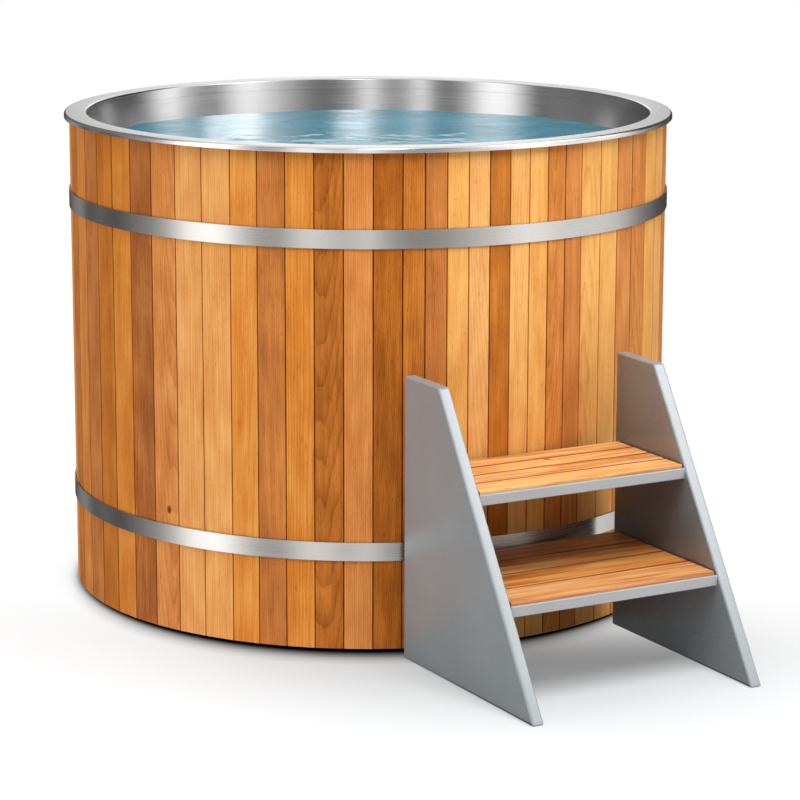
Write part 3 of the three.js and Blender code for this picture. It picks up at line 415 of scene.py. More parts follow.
def grey_sheet(name, colour, grit, roughness, gloss, hollow):
    """Painted or moulded grey sheet with a satin face, a faint orange-peel grain and bright rounded edges. Between the
    panels it carries painted shade, by the share hollow: ambient occlusion darkens the colour where the inside sees
    little of the room."""
    material, tree, shader = new_finish(name)
    place = add(tree, "ShaderNodeTexCoord").outputs["Object"]
    peel = add(tree, "ShaderNodeTexNoise", {"Vector": place, "Scale": 1 / grit, "Detail": 3.0, "Roughness": 0.6}).outputs["Fac"]
    cloud = add(tree, "ShaderNodeTexNoise", {"Vector": place, "Scale": 9.0, "Detail": 3.0}).outputs["Fac"]
    drift = add(tree, "ShaderNodeMapRange", {"Value": cloud, 1: 0.3, 2: 0.7, 3: 0.94, 4: 1.04}).outputs[0]
    fleck = add(tree, "ShaderNodeMapRange", {"Value": peel, 1: 0.3, 2: 0.7, 3: 0.96, 4: 1.03}).outputs[0]
    both = add(tree, "ShaderNodeMath", {0: drift, 1: fleck}, operation="MULTIPLY").outputs[0]
    # Painted shade: ambient occlusion darkens the colour on the inside faces between the panels
    open_sky = add(tree, "ShaderNodeAmbientOcclusion", {"Distance": 0.45}, samples=8).outputs["AO"]
    painted_hollow_shade = add(tree, "ShaderNodeMapRange", {"Value": open_sky, 1: 0.25, 2: 0.62, 3: 1 - hollow, 4: 1.0}).outputs[0]
    tone = add(tree, "ShaderNodeMath", {0: both, 1: painted_hollow_shade}, operation="MULTIPLY").outputs[0]
    shade = add(tree, "ShaderNodeVectorMath", {0: tuple(colour[:3]), "Scale": tone}, operation="SCALE").outputs[0]
    rough = add(tree, "ShaderNodeMapRange", {
        "Value": peel, 1: 0.3, 2: 0.7, 3: roughness - 0.05, 4: roughness + 0.06,
    }).outputs[0]
    bump = add(tree, "ShaderNodeBump", {"Height": peel, "Strength": 0.18, "Distance": 0.0004}).outputs[0]
    fill(tree, shader, {"Base Color": shade, "Roughness": rough, "Normal": bump})
    shader.inputs["Specular IOR Level"].default_value = gloss
    shader.inputs["IOR"].default_value = 1.7
    return material


def plain_timber(name, light, dark, along):
    """Planed softwood or plywood for the base: pale, dry and straight-grained."""
    material, tree, shader = new_finish(name)
    place = add(tree, "ShaderNodeTexCoord").outputs["Object"]
    # Grain lines 4 mm wide and 150 mm long
    scale = tuple(7.0 if k == along else 250.0 for k in range(3))
    grain = add(tree, "ShaderNodeVectorMath", {0: place, 1: scale}, operation="MULTIPLY").outputs[0]
    line = add(tree, "ShaderNodeTexNoise", {"Vector": grain, "Scale": 1.0, "Detail": 3.0, "Distortion": 0.3}).outputs["Fac"]
    ramp = add(tree, "ShaderNodeValToRGB", {"Fac": line})
    set_stops(ramp, ((0.3, linear(dark)), (0.65, linear(light))))
    bump = add(tree, "ShaderNodeBump", {"Height": line, "Strength": 0.2, "Distance": 0.0006}).outputs[0]
    fill(tree, shader, {"Base Color": ramp.outputs["Color"], "Normal": bump})
    shader.inputs["Roughness"].default_value = 0.75
    return material


def mottled(name, light, dark, grain, roughness, metallic=0.0):
    """A plain moulded, cast or foamed finish, with a faint mottle of a given grain size."""
    material, tree, shader = new_finish(name)
    place = add(tree, "ShaderNodeTexCoord").outputs["Object"]
    spot = add(tree, "ShaderNodeTexNoise", {"Vector": place, "Scale": 1 / grain, "Detail": 3.0}).outputs["Fac"]
    ramp = add(tree, "ShaderNodeValToRGB", {"Fac": spot})
    set_stops(ramp, ((0.35, linear(dark)), (0.65, linear(light))))
    rough = add(tree, "ShaderNodeMapRange", {
        "Value": spot, 1: 0.3, 2: 0.7, 3: roughness - 0.06, 4: roughness + 0.06,
    }).outputs[0]
    bump = add(tree, "ShaderNodeBump", {"Height": spot, "Strength": 0.15, "Distance": 0.1 * grain}).outputs[0]
    fill(tree, shader, {"Base Color": ramp.outputs["Color"], "Roughness": rough, "Normal": bump})
    shader.inputs["Metallic"].default_value = metallic
    return material


def start_fresh():
    """Goes back to object mode with nothing selected."""
    if bpy.context.mode != "OBJECT":
        bpy.ops.object.mode_set(mode="OBJECT")
    bpy.ops.object.select_all(action="DESELECT")


def block(name, low, high):
    """A cube stretched between two corners, left open in edit mode with everything selected."""
    start_fresh()
    bpy.ops.mesh.primitive_cube_add(size=1)
    piece = bpy.context.object
    piece.name = piece.data.name = name
    low, high = Vector(low), Vector(high)
    bpy.ops.object.mode_set(mode="EDIT")
    bpy.ops.mesh.select_all(action="SELECT")
    bpy.ops.transform.resize(value=high - low, center_override=(0, 0, 0))
    bpy.ops.transform.translate(value=(low + high) / 2)
    return piece


def rod(name, sides, radius, start, end):
    """A cylinder, or a prism with few sides, between two points. Left open in edit mode, all selected."""
    start, end = Vector(start), Vector(end)
    start_fresh()
    bpy.ops.mesh.primitive_cylinder_add(vertices=sides, radius=radius, depth=(end - start).length)
    piece = bpy.context.object
    piece.name = piece.data.name = name
    turn = (end - start).to_track_quat("Z", "Y").to_matrix().to_4x4()
    piece.data.transform(Matrix.Translation((start + end) / 2) @ turn)
    bpy.ops.object.mode_set(mode="EDIT")
    bpy.ops.mesh.select_all(action="SELECT")
    return piece


def ease(piece, offset, test=None, segments=2):
    """Rounds the edges that pass a test on their two end points, or every edge."""
    choose(piece, "edges", lambda e: test is None or test(*ends(piece, e)))
    bpy.ops.mesh.bevel(offset=offset, segments=segments, affect="EDGES")
    tidy()


def choose(piece, kind, test):
    """Selects the vertices, edges or polygons that pass a test, in edit mode."""
    bpy.ops.mesh.select_mode(type={"vertices": "VERT", "edges": "EDGE", "polygons": "FACE"}[kind])
    bpy.ops.mesh.select_all(action="DESELECT")
    bpy.ops.object.mode_set(mode="OBJECT")
    for item in getattr(piece.data, kind):
        item.select = test(item)
    bpy.ops.object.mode_set(mode="EDIT")


def ends(piece, edge):
    """The two end points of an edge."""
    return [piece.data.vertices[k].co for k in edge.vertices]


def draw(name, corners, place, segments=4):
    """A closed outline, drawn from one vertex by extruding it from corner to corner. Corners are
    (a, b) or (a, b, radius), and place turns a and b into a point. Left open in edit mode."""
    points = [Vector(place(*corner[:2])) for corner in corners]
    start_fresh()
    bpy.ops.mesh.primitive_plane_add(size=0.01)
    piece = bpy.context.object
    piece.name = piece.data.name = name
    bpy.ops.object.mode_set(mode="EDIT")
    bpy.ops.mesh.select_mode(type="VERT")
    bpy.ops.mesh.select_all(action="SELECT")
    bpy.ops.mesh.merge(type="CENTER")
    bpy.ops.transform.translate(value=points[0])
    for start, end in zip(points, points[1:] + points[:1]):
        bpy.ops.mesh.extrude_region_move(TRANSFORM_OT_translate={"value": end - start})
    bpy.ops.mesh.select_all(action="SELECT")
    bpy.ops.mesh.remove_doubles(threshold=1e-6)
    for corner, point in zip(corners, points):
        if len(corner) > 2:
            choose(piece, "vertices", lambda v: (v.co - point).length < 1e-5)
            bpy.ops.mesh.bevel(offset=corner[2], segments=segments, affect="VERTICES")
    bpy.ops.mesh.select_mode(type="VERT")
    bpy.ops.mesh.select_all(action="SELECT")
    return piece


def thicken(vector):
    """Fills the outline that is open in edit mode and pulls it out into a solid."""
    bpy.ops.mesh.edge_face_add()
    bpy.ops.mesh.extrude_region_move(TRANSFORM_OT_translate={"value": vector})
    tidy()


def spin(steps, angle=2 * math.pi, center=(0, 0, 0), axis=(0, 0, 1)):
    """Turns the outline that is open in edit mode about an axis."""
    bpy.ops.mesh.spin(steps=steps, angle=angle, center=center, axis=axis)
    tidy()


def tidy():
    """Merges doubles and points the faces outwards."""
    bpy.ops.mesh.select_all(action="SELECT")
    bpy.ops.mesh.remove_doubles(threshold=1e-6)
    bpy.ops.mesh.normals_make_consistent(inside=False)


def combine(piece, other, operation):
    """Joins a shape to a piece or cuts it away, and deletes that shape."""
    start_fresh()
    piece.select_set(True)
    bpy.context.view_layer.objects.active = piece
    bpy.ops.object.modifier_add(type="BOOLEAN")
    modifier = piece.modifiers[-1]
    modifier.operation, modifier.solver, modifier.object = operation, "EXACT", other
    bpy.ops.object.modifier_apply(modifier=modifier.name)
    bpy.data.objects.remove(other)


def copy_piece(source, name, matrix):
    """A copy with its own mesh, put in its place."""
    twin = source.copy()
    twin.data = source.data.copy()
    twin.name = twin.data.name = name
    bpy.context.collection.objects.link(twin)
    twin.data.transform(matrix)
    return twin


def settle(piece, material, body, slot, *nodes, angle=35):
    """Smooths a finished piece, keeping its flat faces flat, gives it its finish and hands it to the frame.
    The slot is not used."""
    start_fresh()
    piece.select_set(True)
    bpy.context.view_layer.objects.active = piece
    bpy.ops.object.shade_smooth_by_angle(angle=math.radians(angle))
    bpy.ops.object.modifier_add(type="WEIGHTED_NORMAL")
    piece.modifiers[-1].keep_sharp = True
    bpy.ops.object.modifier_apply(modifier=piece.modifiers[-1].name)
    piece.data.materials.clear()
    piece.data.materials.append(material)
    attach(piece, body)
    if nodes:
        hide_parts(*nodes)


def lay_grain(piece, to_log, face, tone, joint, draw_from, knot=None):
    """Stores on each vertex where the board lay in its log, its tone and how far it is from a knot.
    to_log turns a point into across, through and along the grain. Off the face, in the joints, the
    wood is darker with oil and shade."""
    mesh = piece.data
    # A board's pith lies 50 to 160 mm away, behind its face in flame-grained boards, and it leans
    away = draw_from.uniform(0.05, 0.16)
    turn = draw_from.uniform(0.0, math.pi)
    lean = Vector((draw_from.uniform(-0.03, 0.03), draw_from.uniform(-0.05, 0.05), 0))
    start = Vector((away * math.cos(turn), away * math.sin(turn), draw_from.uniform(0, 40)))
    # From golden, -1, to pink, 1
    blush = math.cos(7 * turn)
    for key, kind in (("grain", "FLOAT_VECTOR"), ("tone", "FLOAT"), ("blush", "FLOAT"), ("knot", "FLOAT_VECTOR")):
        mesh.attributes.new(key, kind, "POINT")
    grain, tones, blushes, knots = (mesh.attributes[key].data for key in ("grain", "tone", "blush", "knot"))
    for k, vertex in enumerate(mesh.vertices):
        local = Vector(to_log(vertex.co))
        grain[k].vector = local + lean * local.z + start
        tones[k].value = tone - (0.0 if face(vertex.co) else joint)
        blushes[k].value = blush
        knots[k].vector = (local - Vector(knot)) * Vector((1, 0, 0.7)) if knot else (1, 1, 1)


class OBJECT_OT_plunge_cladding(bpy.types.Operator):
    """Cladding boards round the tub, with a V between them"""

    bl_idname = "object.plunge_cladding"
    bl_label = "Cladding boards"

    def execute(self, context):
        sizes, colours = context.scene.plunge_sizes, context.scene.plunge_colours
        cedar = oiled_cedar("Cedar cladding, oiled", colours, colours.cedar_warm, colours.cedar_pale, 0.06, 0.06)
        dice = random.Random(7)
        total = sum(count * width for count, width in BOARD_RUNS)
        top = RIM_HIGH.z - sizes.sheet - 0.0003
        blanks = {}
        start, index = FIRST_BOARD, 0
        for count, width in BOARD_RUNS:
            half = math.pi * width / total
            if width not in blanks:
                blanks[width] = self.blank(sizes, half, top)
            for _ in range(count):
                self.place(sizes, blanks[width], index, start + half, cedar, dice)
                start += 2 * half
                index += 1
        for blank in blanks.values():
            bpy.data.objects.remove(blank)
        return {"FINISHED"}

    def blank(self, sizes, half, top):
        """One board at the step's side, with radial sides, chamfered outer edges and eased ends."""
        outer = sizes.clad_radius * math.cos(half)
        inner = outer - sizes.board_thick * math.cos(half)
        reach = sizes.clad_radius * math.sin(half) - sizes.board_seam / 2
        board = block("board_blank", (-reach, -outer, sizes.board_low), (reach, -inner, top))
        choose(board, "vertices", lambda v: v.co.y > -(outer + inner) / 2)
        bpy.ops.transform.resize(value=(inner / outer, 1, 1), center_override=(0, -inner, 0))
        choose(board, "edges", lambda e: all(p.y < 0.0005 - outer for p in ends(board, e))
               and abs(ends(board, e)[0].z - ends(board, e)[1].z) > 0.5)
        bpy.ops.mesh.bevel(offset=sizes.board_chamfer, segments=2, affect="EDGES")
        choose(board, "edges", lambda e: all(p.z < sizes.board_low + 1e-4 for p in ends(board, e)))
        bpy.ops.mesh.bevel(offset=0.0008, segments=1, affect="EDGES")
        tidy()
        bpy.ops.object.mode_set(mode="OBJECT")
        return board

    def place(self, sizes, blank, index, angle, cedar, dice):
        """A copy of the blank at its angle, with its own grain, and with the drain pipe's hole if it is there."""
        board = copy_piece(blank, f"cladding_board_{index + 1:02d}", Matrix())
        low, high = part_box("drain_pipe")
        pipe = (low + high) / 2
        reach = (high.x - low.x) / 2 + sizes.pipe_fit
        if abs(math.remainder(math.atan2(pipe.x, -high.y) - angle, 2 * math.pi)) < 0.08:
            hole = rod("pipe_hole", 48, reach, (pipe.x, low.y, pipe.z), (pipe.x, high.y, pipe.z))
            bpy.ops.object.mode_set(mode="OBJECT")
            hole.data.transform(Matrix.Rotation(-angle, 4, "Z"))
            combine(board, hole, "DIFFERENCE")
        tone = TONES[BOARD_TONES[index]] + dice.uniform(-0.025, 0.025)
        knot = (0.006, 0, 0.262) if index == 5 else None
        front = min(v.co.y for v in board.data.vertices) + 1e-5
        lay_grain(board, lambda p: (p.x, p.y + 0.65, p.z), lambda p: p.y < front, tone, 0.42, dice, knot)
        board.data.transform(Matrix.Rotation(angle, 4, "Z"))
        settle(board, cedar, "tub", "cladding_wood", f"cladding_panel_{index // BOARDS_PER_PANEL + 1:02d}")


class OBJECT_OT_plunge_vessel(bpy.types.Operator):
    """Stainless rim and wall of the vessel"""

    bl_idname = "object.plunge_vessel"
    bl_label = "Rim and vessel wall"

    def execute(self, context):
        sizes, colours = context.scene.plunge_sizes, context.scene.plunge_colours
        steel = brushed_stainless("Stainless rim, brushed round", colours.steel, 0.25, 0.8, outward=0.07)
        inside = brushed_stainless("Stainless sheet, brushed round", colours.wall, 0.22, 0.5, upward=0.18)
        upright = lambda r, z: (r, 0, z)
        top, outer, sheet = RIM_HIGH.z, RIM_HIGH.x, sizes.sheet
        wall_out = WALL_HIGH.x
        wall_in = wall_out - sheet
        rim = draw("rim_ring", (
            (wall_in, RIM_LOW.z), (wall_out, RIM_LOW.z),
            (wall_out, top - sheet, sizes.rim_bend - sheet),
            (outer - sheet, top - sheet, sizes.rim_edge - sheet),
            (outer - sheet, top - sizes.rim_lip), (outer, top - sizes.rim_lip, 0.0006),
            (outer, top, sizes.rim_edge), (wall_in, top, sizes.rim_bend),
        ), upright, segments=6)
        spin(256)
        settle(rim, steel, "tub", "vessel_steel", "rim")
        # The rim's band inside the tub is brushed with the wall, and takes its darker colour, which is painted shade
        rim.data.materials.append(inside)
        for face in rim.data.polygons:
            face.material_index = int(face.center.xy.normalized().dot(face.normal.xy) < -0.9)
        wall = draw("vessel_wall_sheet", (
            (wall_in, WALL_LOW.z), (wall_out, WALL_LOW.z), (wall_out, WALL_HIGH.z), (wall_in, WALL_HIGH.z),
        ), upright)
        spin(256)
        settle(wall, inside, "tub", "vessel_steel", "vessel_wall")
        return {"FINISHED"}


class OBJECT_OT_plunge_hoops(bpy.types.Operator):
    """Flat steel hoops, closed at the back by two lugs"""

    bl_idname = "object.plunge_hoops"
    bl_label = "Hoops"

    def execute(self, context):
        sizes, colours = context.scene.plunge_sizes, context.scene.plunge_colours
        steel = brushed_stainless("Stainless band, brushed round", colours.band, 0.27, 0.8)
        for name in ("upper_hoop", "lower_hoop"):
            low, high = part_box(name)
            outer = -low.y
            inner = outer - sizes.hoop_thick
            open_angle = math.asin(0.0105 / outer)
            band = draw(f"{name}_band", (
                (inner, low.z), (outer, low.z, 0.0006), (outer, high.z, 0.0006), (inner, high.z),
            ), lambda r, z: (r * math.cos(open_angle), -r * math.sin(open_angle), z), segments=2)
            # Spun clockwise from the gap round to its other side, then turned to put the gap at the back
            bpy.ops.mesh.edge_face_add()
            spin(256, 2 * math.pi - 2 * open_angle)
            bpy.ops.object.mode_set(mode="OBJECT")
            band.data.transform(Matrix.Rotation(math.pi / 2, 4, "Z"))
            for side in (-1, 1):
                combine(band, self.lug(side, outer, low, high), "UNION")
            settle(band, steel, "tub", "hoop_steel", name)
        fixing = mottled("Stainless fixings", "#c6c7c6", "#aeb0af", 0.0015, 0.3, 1.0)
        for name in ("upper_hoop", "lower_hoop"):
            self.bolt(sizes, f"{name}_bolt", fixing)
            self.nut(sizes, f"{name}_nut", fixing)
        return {"FINISHED"}

    def bolt(self, sizes, name, fixing):
        """A hexagon bolt along X."""
        low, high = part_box(name)
        axis = (low + high) / 2
        neck = low.x + sizes.bolt_head
        bolt = rod(f"{name}_hex", 6, sizes.bolt_hex, (low.x, axis.y, axis.z), (neck, axis.y, axis.z))
        ease(bolt, sizes.small_edge)
        shank = rod("bolt_shank", 32, sizes.bolt_radius, (neck - 0.001, axis.y, axis.z), (high.x, axis.y, axis.z))
        ease(shank, sizes.small_edge, lambda a, b: min(a.x, b.x) > high.x - 1e-5)
        combine(bolt, shank, "UNION")
        settle(bolt, fixing, "tub", "fixing_steel", name)

    def nut(self, sizes, name, fixing):
        """A hexagon nut along X, with its hole."""
        low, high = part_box(name)
        axis = (low + high) / 2
        nut = rod(f"{name}_hex", 6, sizes.bolt_hex, (low.x, axis.y, axis.z), (high.x, axis.y, axis.z))
        ease(nut, sizes.small_edge)
        hole = rod("nut_hole", 32, sizes.bolt_radius + 0.0003, (low.x - 0.01, axis.y, axis.z), (high.x + 0.01, axis.y, axis.z))
        combine(nut, hole, "DIFFERENCE")
        settle(nut, fixing, "tub", "fixing_steel", name)

    def lug(self, side, outer, low, high):
        """One lug: a plate that stands out from the band, with rounded corners and a bolt hole."""
        middle = (low.z + high.z) / 2
        plate = draw("hoop_lug", (
            (outer - 0.0015, low.z), (high.y, low.z, 0.006), (high.y, high.z, 0.006), (outer - 0.0015, high.z),
        ), lambda y, z: (side * 0.008, y, z))
        thicken((side * 0.005, 0, 0))
        bpy.ops.object.mode_set(mode="OBJECT")
        bpy.ops.mesh.primitive_cylinder_add(
            vertices=32, radius=0.0044, depth=0.06, location=(0, (outer + high.y) / 2, middle),
            rotation=(0, math.pi / 2, 0))
        combine(plate, bpy.context.object, "DIFFERENCE")
        return plate


class OBJECT_OT_plunge_water(bpy.types.Operator):
    """Rippled water in the tub"""

    bl_idname = "object.plunge_water"
    bl_label = "Water"

    def execute(self, context):
        sizes, colours = context.scene.plunge_sizes, context.scene.plunge_colours
        level = RIM_HIGH.z - sizes.water_drop
        radius = WALL_HIGH.x - sizes.sheet - 0.0006
        start_fresh()
        bpy.ops.mesh.primitive_plane_add(size=0.01)
        water = bpy.context.object
        water.name = water.data.name = "water"
        bpy.ops.object.mode_set(mode="EDIT")
        bpy.ops.mesh.select_mode(type="VERT")
        bpy.ops.mesh.select_all(action="SELECT")
        bpy.ops.mesh.merge(type="CENTER")
        bpy.ops.transform.translate(value=(0, 0, level))
        bpy.ops.mesh.extrude_region_move(TRANSFORM_OT_translate={"value": (radius, 0, 0)})
        bpy.ops.mesh.select_all(action="SELECT")
        bpy.ops.mesh.subdivide(number_cuts=119)
        spin(300)
        bpy.ops.object.mode_set(mode="OBJECT")
        for name, size, depth, height in (("Swell", 0.17, 1, sizes.swell), ("Ripple", 0.055, 1, sizes.ripple)):
            texture = bpy.data.textures.new(name, "CLOUDS")
            texture.noise_scale, texture.noise_depth = size, depth
            bpy.ops.object.modifier_add(type="DISPLACE")
            wave = water.modifiers[-1]
            wave.texture, wave.direction, wave.strength = texture, "Z", height
            bpy.ops.object.modifier_apply(modifier=wave.name)
        bpy.ops.object.mode_set(mode="EDIT")
        choose(water, "vertices", lambda v: v.co.xy.length > radius - 1e-4)
        bpy.ops.mesh.extrude_region_move(TRANSFORM_OT_translate={"value": (0, 0, -0.06)})
        bpy.ops.transform.resize(value=(1, 1, 0), center_override=(0, 0, level - 0.06))
        bpy.ops.mesh.edge_face_add()
        tidy()
        settle(water, plunge_water(colours), "tub", None, angle=60)
        water.visible_glossy = False
        return {"FINISHED"}


class OBJECT_OT_plunge_step_panels(bpy.types.Operator):
    """The step's two raked side panels"""

    bl_idname = "object.plunge_step_panels"
    bl_label = "Step panels"

    def execute(self, context):
        sizes, colours = context.scene.plunge_sizes, context.scene.plunge_colours
        grey = grey_sheet("Grey polyethylene sheet, satin", colours.panel, 0.0016, 0.3, 0.9, 0.5)
        for side in ("left", "right"):
            low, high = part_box(f"{side}_step_panel")
            panel = draw(f"{side}_step_side", (
                (high.y - sizes.panel_foot, 0, sizes.panel_corner), (high.y, 0, sizes.panel_corner),
                (high.y, high.z, sizes.panel_corner), (high.y - sizes.panel_top, high.z, sizes.panel_corner),
            ), lambda y, z: (low.x, y, z), segments=5)
            thicken((high.x - low.x, 0, 0))
            flat = lambda e: abs(ends(panel, e)[0].x - ends(panel, e)[1].x) < 1e-5
            choose(panel, "edges", flat)
            bpy.ops.mesh.bevel(offset=sizes.panel_edge, segments=3, affect="EDGES")
            # Cut across near the corners, so that the faces between them stay four-sided
            for height in (2.4 * sizes.panel_corner, high.z - 2.4 * sizes.panel_corner):
                bpy.ops.mesh.select_all(action="SELECT")
                bpy.ops.mesh.bisect(plane_co=(0, 0, height), plane_no=(0, 0, 1))
            tidy()
            settle(panel, grey, "step", "step_panel_grey", f"{side}_step_panel")
        return {"FINISHED"}


class OBJECT_OT_plunge_treads(bpy.types.Operator):
    """Trays of the step, with four deck boards in each"""

    bl_idname = "object.plunge_treads"
    bl_label = "Trays and tread boards"

    def execute(self, context):
        sizes, colours = context.scene.plunge_sizes, context.scene.plunge_colours
        coat = grey_sheet("Powder-coated steel, grey", colours.tray, 0.0012, 0.36, 0.8, 0.0)
        cedar = oiled_cedar("Cedar deck boards, oiled", colours, colours.deck_warm, colours.deck_pale, 0.28, 0.6)
        dice = random.Random(23)
        for level in ("upper", "lower"):
            self.tray(sizes, level, coat)
            for k in range(1, 5):
                self.deck_board(sizes, f"{level}_tread_board_{k}", cedar, dice, level == "upper" and k == 3)
        return {"FINISHED"}

    def tray(self, sizes, level, coat):
        """A folded pan with a thick, rounded front lip."""
        low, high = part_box(f"{level}_tray")
        board_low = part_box(f"{level}_tread_board_1")[0].z
        front, back, pan_high = low.y, high.y, board_low - 0.0003
        inner = front + sizes.lip_thick
        pan = draw(f"{level}_tray_pan", (
            (front, high.z - sizes.lip_height, sizes.lip_round), (inner, high.z - sizes.lip_height, 0.001),
            (inner, pan_high - sizes.tray_sheet), (back, pan_high - sizes.tray_sheet, sizes.tray_sheet),
            (back, high.z), (back - sizes.tray_sheet, high.z), (back - sizes.tray_sheet, pan_high),
            (inner, pan_high), (inner, high.z, sizes.lip_round), (front, high.z, sizes.lip_round),
        ), lambda y, z: (low.x, y, z))
        thicken((high.x - low.x, 0, 0))
        flange_front, flange_back = front + sizes.tray_flange_front, back - sizes.tray_flange_rear
        for edge, inward in ((low.x, 1), (high.x, -1)):
            span = sorted((edge, edge + inward * sizes.tray_sheet))
            flange = block("tray_flange", (span[0], flange_front, pan_high - sizes.tray_flange),
                           (span[1], flange_back, pan_high - sizes.tray_sheet / 2))
            combine(pan, flange, "UNION")
        middle = (inner + back - sizes.tray_sheet) / 2
        for k in (-1, 0, 1):
            x = k * (high.x - low.x) / 3
            slot = block("tray_slot", (x - sizes.slot_length / 2, middle - sizes.slot_width / 2, low.z),
                         (x + sizes.slot_length / 2, middle + sizes.slot_width / 2, high.z))
            ease(slot, 0.49 * sizes.slot_width, lambda a, b: abs(a.z - b.z) > 0.01, 6)
            combine(pan, slot, "DIFFERENCE")
        settle(pan, coat, "step", "tray_grey", f"{level}_tray")

    def deck_board(self, sizes, name, cedar, dice, knotty):
        """A board with rounded long edges and eased ends."""
        low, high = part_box(name)
        board = block(f"{name}_cedar", low, high)
        upper = lambda e: all(p.z > high.z - 1e-4 for p in ends(board, e))
        choose(board, "edges", upper)
        bpy.ops.mesh.bevel(offset=sizes.tread_edge, segments=3, affect="EDGES")
        tidy()
        tone = TREAD_TONES[name[:5]][int(name[-1]) - 1]
        knot = (0.02, 0, 0.02) if knotty else None
        middle = (Vector(low) + Vector(high)) / 2
        bpy.ops.object.mode_set(mode="OBJECT")
        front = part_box(name.replace("tread_board_1", "tray"))[0].y + 0.03 if name.endswith("_1") else low.y - 1
        seen = lambda p: p.z > high.z - 1e-5 or p.y < front
        lay_grain(board, lambda p: (p.y - middle.y, p.z - middle.z, p.x), seen, tone, 1.1, dice, knot)
        settle(board, cedar, "step", "tread_wood", name)


class OBJECT_OT_plunge_base(bpy.types.Operator):
    """Bearers under the tub, and the finishes of the hidden base, insulation and drain"""

    bl_idname = "object.plunge_base"
    bl_label = "Base"

    def execute(self, context):
        sizes = context.scene.plunge_sizes
        timber = plain_timber("Softwood bearers, planed", "#d9b483", "#b98c58", 1)
        for k in range(1, 6):
            low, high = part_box(f"bearer_{k}")
            bearer = block(f"bearer_{k}_timber", low, high)
            ease(bearer, sizes.bearer_edge, lambda a, b: abs(a.y - b.y) > 0.1)
            settle(bearer, timber, "tub", "bearer_wood", f"bearer_{k}")
        steel = bpy.data.materials["Stainless sheet, brushed round"]
        fixing = bpy.data.materials["Stainless fixings"]
        hidden = {
            plain_timber("Plywood deck", "#d6b183", "#c0945f", 0): ["base_deck"],
            mottled("Foam, closed-cell", "#4a4e52", "#34373a", 0.003, 0.9): ["foam_wrap", "floor_insulation"],
            mottled("Rubber gasket", "#26282a", "#1a1b1c", 0.002, 0.8): ["drain_gasket"],
            mottled("PVC fittings, grey", "#d8d9d7", "#c9cac8", 0.004, 0.4): ["drain_locknut", "drain_elbow"],
            steel: ["vessel_floor", "drain_flange", "drain_grate"],
            fixing: ["valve_ball"],
        }
        for material, names in hidden.items():
            for name in names:
                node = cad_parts[name]
                node.data.materials.clear()
                node.data.materials.append(material)
        return {"FINISHED"}


